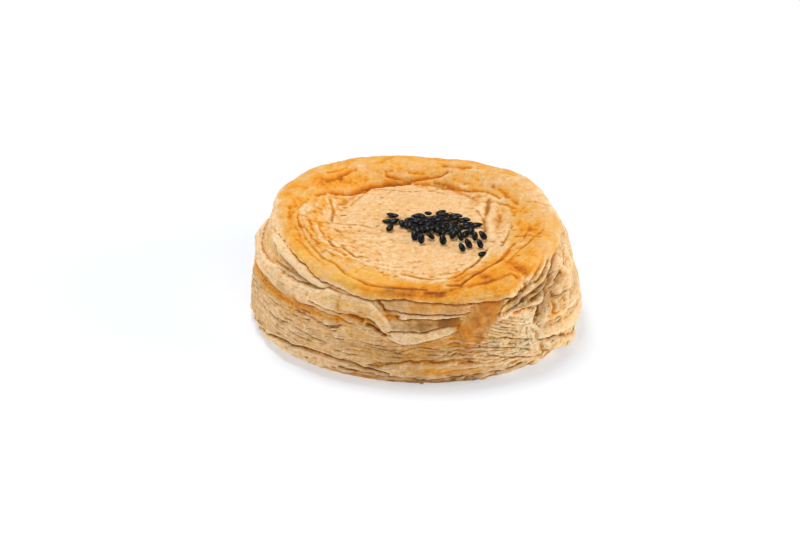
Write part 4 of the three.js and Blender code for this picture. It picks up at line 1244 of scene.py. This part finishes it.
CRUST_RELIEF = 0.0009
rough_skin(total(layer_relief, skin_relief), 1.0, CRUST_RELIEF)
mesh.materials.append(crust)
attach(pastry, "root")
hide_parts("pastry")

# Black sesame: whole seeds in their hulls, scattered on the wet egg wash, which holds them to the baked top
# in a small heap. Each is a flattened teardrop about 3 mm long, dry and faintly glossy.
SEED_LENGTH, SEED_WIDTH, SEED_THICKNESS = 3.2, 2.25, 1.4
SEED_TAPER = 0.32
SEED_EDGE = 0.06
SEED_SPREAD = 0.12  # how far seeds differ in size
# The heap's back and front outline in plan, filled by rule
HEAP_BACK = [(-2.6, 1.0), (0, 2.0), (2, 4.5), (4, 4.2), (5.5, 1.5), (7.5, 4.5), (9.5, 3.4), (13, 3.4),
             (15, 3), (17, 0.4)]
HEAP_FRONT = [(-2.6, -2.2), (0, -5.5), (3, -6.5), (6, -5.5), (9, -7), (12, -6.5), (15, -8), (17, -6)]
HEAP_LEFT, HEAP_LENGTH = -2.6, 19.6
SEED_APART = 1.38  # least distance between the middles of two seeds
SEED_NEAR = 2.6  # distance within which a seed lies on one laid before it
SEED_TRIES = 900
# Seeds at the front point back into the heap with that end up. Those behind lie either way along it.
INWARD_HEADING, HEADING_RANGE = 90, 120
TIP_FORWARD, TIP_RANGE = 18, 24
SEED_BED = 0.4  # share of its thickness that a seed's middle lies above the top
SEED_STEP = 0.35  # share of its thickness that each seed below raises it by
# Seeds that lie apart at the heap's edges: x, y, heading of the pointed end, and how far that end is lifted
EDGE_SEEDS = [(-7.1, 5.2, 170, 5), (-6.2, 4.0, -25, 12), (-8.2, 1.2, 180, 0), (-6.1, 0.4, 25, 12),
              (-7.3, -3.6, 65, 15), (-3.8, -1.6, -80, -22), (0.0, -9.3, 92, 35), (1.9, -11.8, 85, 42),
              (4.6, -9.3, 150, 25), (8.2, -12.0, 100, 38), (11.3, -8.6, 60, 35), (13.5, -9.8, 110, 35),
              (15.6, -13.6, 125, 35), (13.7, -16.0, 115, 30), (17.7, -9.6, 85, 40), (20.0, -9.2, 130, 30),
              (19.0, -14.0, 115, 38), (18.5, -1.2, 0, 5), (7.9, 6.2, 20, 10), (19.6, -18.2, 48, 0)]


def draw(n, column):
    """A number between 0 and 1 that never repeats: the nth multiple of an irrational, by column."""
    return (n * math.sqrt((2, 3, 7, 11, 13)[column])) % 1


def seed_mesh(around=14, along_it=12):
    """Points and faces of one seed lying along X, pointed at +X, with one point at each end."""
    seed_points, seed_faces = [(-SEED_LENGTH / 2, 0.0, 0.0)], []
    for i in range(1, along_it):
        t = math.pi * i / along_it
        x = -math.cos(t) / 2
        girth = math.sin(t) * (1 - SEED_TAPER * (x + 0.5))
        for j in range(around):
            s = 2 * math.pi * j / around
            edge = 1 + SEED_EDGE * math.cos(2 * s)
            seed_points.append((x * SEED_LENGTH, girth * edge * math.cos(s) * SEED_WIDTH / 2,
                                girth * math.sin(s) * SEED_THICKNESS / 2))
    seed_points.append((SEED_LENGTH / 2, 0.0, 0.0))
    tip_point = len(seed_points) - 1
    for j in range(around):
        k = (j + 1) % around
        seed_faces.append((0, 1 + k, 1 + j))
        for ring in range(1, tip_point - around, around):
            seed_faces.append((ring + j, ring + k, ring + around + k, ring + around + j))
        seed_faces.append((tip_point, tip_point - around + j, tip_point - around + k))
    return np.array(seed_points), seed_faces


def top_at(x, y):
    """Height of the crust's top at a place in plan."""
    nearest = np.argsort((top_points[:, 0] - x) ** 2 + (top_points[:, 1] - y) ** 2)[:6]
    return float(top_points[nearest, 2].mean())


seed_points, seed_faces = seed_mesh()
laid = []
all_points, all_faces = [], []


def lay_seed(x, y, heading, lift_end, size, height_above):
    """Adds one seed at a place in plan, turned to a heading and tipped by its pointed end, in degrees."""
    turn_by, tip_by = math.radians(heading), math.radians(-lift_end)
    cos_h, sin_h, cos_t, sin_t = math.cos(turn_by), math.sin(turn_by), math.cos(tip_by), math.sin(tip_by)
    turn = np.array([[cos_h, -sin_h, 0], [sin_h, cos_h, 0], [0, 0, 1]])
    tip = np.array([[cos_t, 0, sin_t], [0, 1, 0], [-sin_t, 0, cos_t]])
    all_faces.extend(tuple(v + len(all_points) * len(seed_points) for v in face) for face in seed_faces)
    all_points.append(size * seed_points @ tip.T @ turn.T + (x, y, top_at(x, y) + height_above))
    laid.append((x, y))


def seed_size(n):
    return 1 + SEED_SPREAD * (2 * draw(n, 2) - 1)


for n in range(1, SEED_TRIES):
    x = HEAP_LEFT + HEAP_LENGTH * draw(n, 0)
    back = np.interp(x, *np.array(HEAP_BACK).T)
    front = np.interp(x, *np.array(HEAP_FRONT).T)
    y = front + (back - front) * draw(n, 1)
    if any(math.hypot(x - px, y - py) < SEED_APART for px, py in laid):
        continue
    forward = np.clip((back - y) / (back - front), 0, 1) ** 2
    reversed_by = 180 * (draw(n, 3) < 0.5) * (forward < 0.4)
    heading = INWARD_HEADING * forward + reversed_by + HEADING_RANGE * (draw(n, 2) - 0.5)
    lift_end = TIP_RANGE * (draw(n, 4) - 0.5) + TIP_FORWARD * forward
    under = sum(math.hypot(x - px, y - py) < SEED_NEAR for px, py in laid)
    lay_seed(x, y, heading, lift_end, seed_size(n), SEED_THICKNESS * (SEED_BED + SEED_STEP * min(under, 2)))
for n, (x, y, heading, lift_end) in enumerate(EDGE_SEEDS):
    half_rise = SEED_LENGTH / 2 * abs(math.sin(math.radians(lift_end)))
    lay_seed(x, y, heading, lift_end, seed_size(n), SEED_BED * SEED_THICKNESS + half_rise)
seeds_mesh = bpy.data.meshes.new("sesame_seeds")
seeds_mesh.from_pydata((np.concatenate(all_points) * MM).tolist(), [], all_faces)
seeds_mesh.update()
seeds_mesh.polygons.foreach_set("use_smooth", [True] * len(seeds_mesh.polygons))
seeds = bpy.data.objects.new("sesame_seeds", seeds_mesh)
bpy.context.scene.collection.objects.link(seeds)

HULL_RELIEF = 0.0002
HULL_COLOURS = [(0.3, (0.0015, 0.0015, 0.002)), (0.75, (0.006, 0.006, 0.007))]
hull = bpy.data.materials.new("sesame_hull")
hull.use_nodes = True
nodes, links = hull.node_tree.nodes, hull.node_tree.links
shader = nodes["Principled BSDF"]
hull_mottle = cloud(node("ShaderNodeTexCoord").outputs["Object"], 700.0, 4.0, 0.6)
links.new(colour_steps(hull_mottle, HULL_COLOURS), shader.inputs["Base Color"])
shader.inputs["Roughness"].default_value = 0.33
shader.inputs["Specular IOR Level"].default_value = 0.2
rough_skin(hull_mottle, 0.55, HULL_RELIEF)
seeds_mesh.materials.append(hull)
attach(seeds, "root")

# The ground: a plain white sweep of paper that the pastry rests on.
# It glows a little, so that it is as white as a lit studio table.
FLOOR_SIZE = 6.0
PAPER_COLOUR, PAPER_GLOW = (0.55, 0.585, 0.635, 1), 0.4
bpy.ops.mesh.primitive_plane_add(size=FLOOR_SIZE, location=(0, 0, 0))
floor = bpy.context.object
floor.name = "floor"
paper = bpy.data.materials.new("white_ground")
paper.use_nodes = True
shader = paper.node_tree.nodes["Principled BSDF"]
shader.inputs["Base Color"].default_value = PAPER_COLOUR
shader.inputs["Emission Color"].default_value = (1, 1, 1, 1)
shader.inputs["Emission Strength"].default_value = PAPER_GLOW
shader.inputs["Roughness"].default_value = 0.9
floor.data.materials.append(paper)

# Studio light: a white room with a soft box overhead, a little behind and to the left, and three that fill in
# from the left, the right and the front.
ROOM_LIGHT = 0.24
LIT_POINT = Vector((0, 0, 0.02))
world = bpy.data.worlds.new("studio")
world.use_nodes = True
world.node_tree.nodes["Background"].inputs["Color"].default_value = (1, 1, 1, 1)
world.node_tree.nodes["Background"].inputs["Strength"].default_value = ROOM_LIGHT
bpy.context.scene.world = world
# Name, place and size in metres, and power in watts
SOFT_BOXES = [
    ("overhead_box", (-0.18, 0.28, 0.92), 0.42, 5.7),
    ("left_box", (-1.0, -0.15, 0.4), 0.6, 3.2),
    ("right_box", (1.0, -0.2, 0.35), 0.6, 6.5),
    ("front_box", (0.3, -1.0, 0.55), 0.6, 2.8),
]
for name, stands_at, size, power in SOFT_BOXES:
    lamp = bpy.data.lights.new(name, "AREA")
    lamp.shape = "DISK"
    lamp.size = size
    lamp.energy = power
    holder = bpy.data.objects.new(name, lamp)
    holder.location = stands_at
    holder.rotation_euler = (LIT_POINT - Vector(stands_at)).to_track_quat("-Z", "Y").to_euler()
    bpy.context.scene.collection.objects.link(holder)

# Camera: at the photograph's angle, a long lens looking down on the pastry.
# It is placed so that one point of the pastry falls on the pixel where the photograph has it.
IMAGE_WIDTH, IMAGE_HEIGHT = 800, 533
ELEVATION = math.radians(29.0)
DISTANCE = 0.7
AIM_HEIGHT = 0.012
PIXELS_PER_METRE = 3317.2
AIM_PIXEL = (414.44, 276.38)
aim_right = (IMAGE_WIDTH / 2 - AIM_PIXEL[0]) / PIXELS_PER_METRE
aim_up = (AIM_PIXEL[1] - IMAGE_HEIGHT / 2) / PIXELS_PER_METRE
camera_data = bpy.data.cameras.new("camera")
camera_data.sensor_width = 36.0
camera_data.lens = PIXELS_PER_METRE * DISTANCE * camera_data.sensor_width / IMAGE_WIDTH
camera = bpy.data.objects.new("camera", camera_data)
back = Vector((0, -math.cos(ELEVATION), math.sin(ELEVATION)))
up = Vector((0, math.sin(ELEVATION), math.cos(ELEVATION)))
aim = Vector((aim_right, 0, AIM_HEIGHT)) + up * aim_up
camera.location = aim + back * DISTANCE
camera.rotation_euler = (-back).to_track_quat("-Z", "Y").to_euler()
bpy.context.scene.collection.objects.link(camera)
bpy.context.scene.camera = camera
bpy.context.scene.view_settings.view_transform = "Standard"
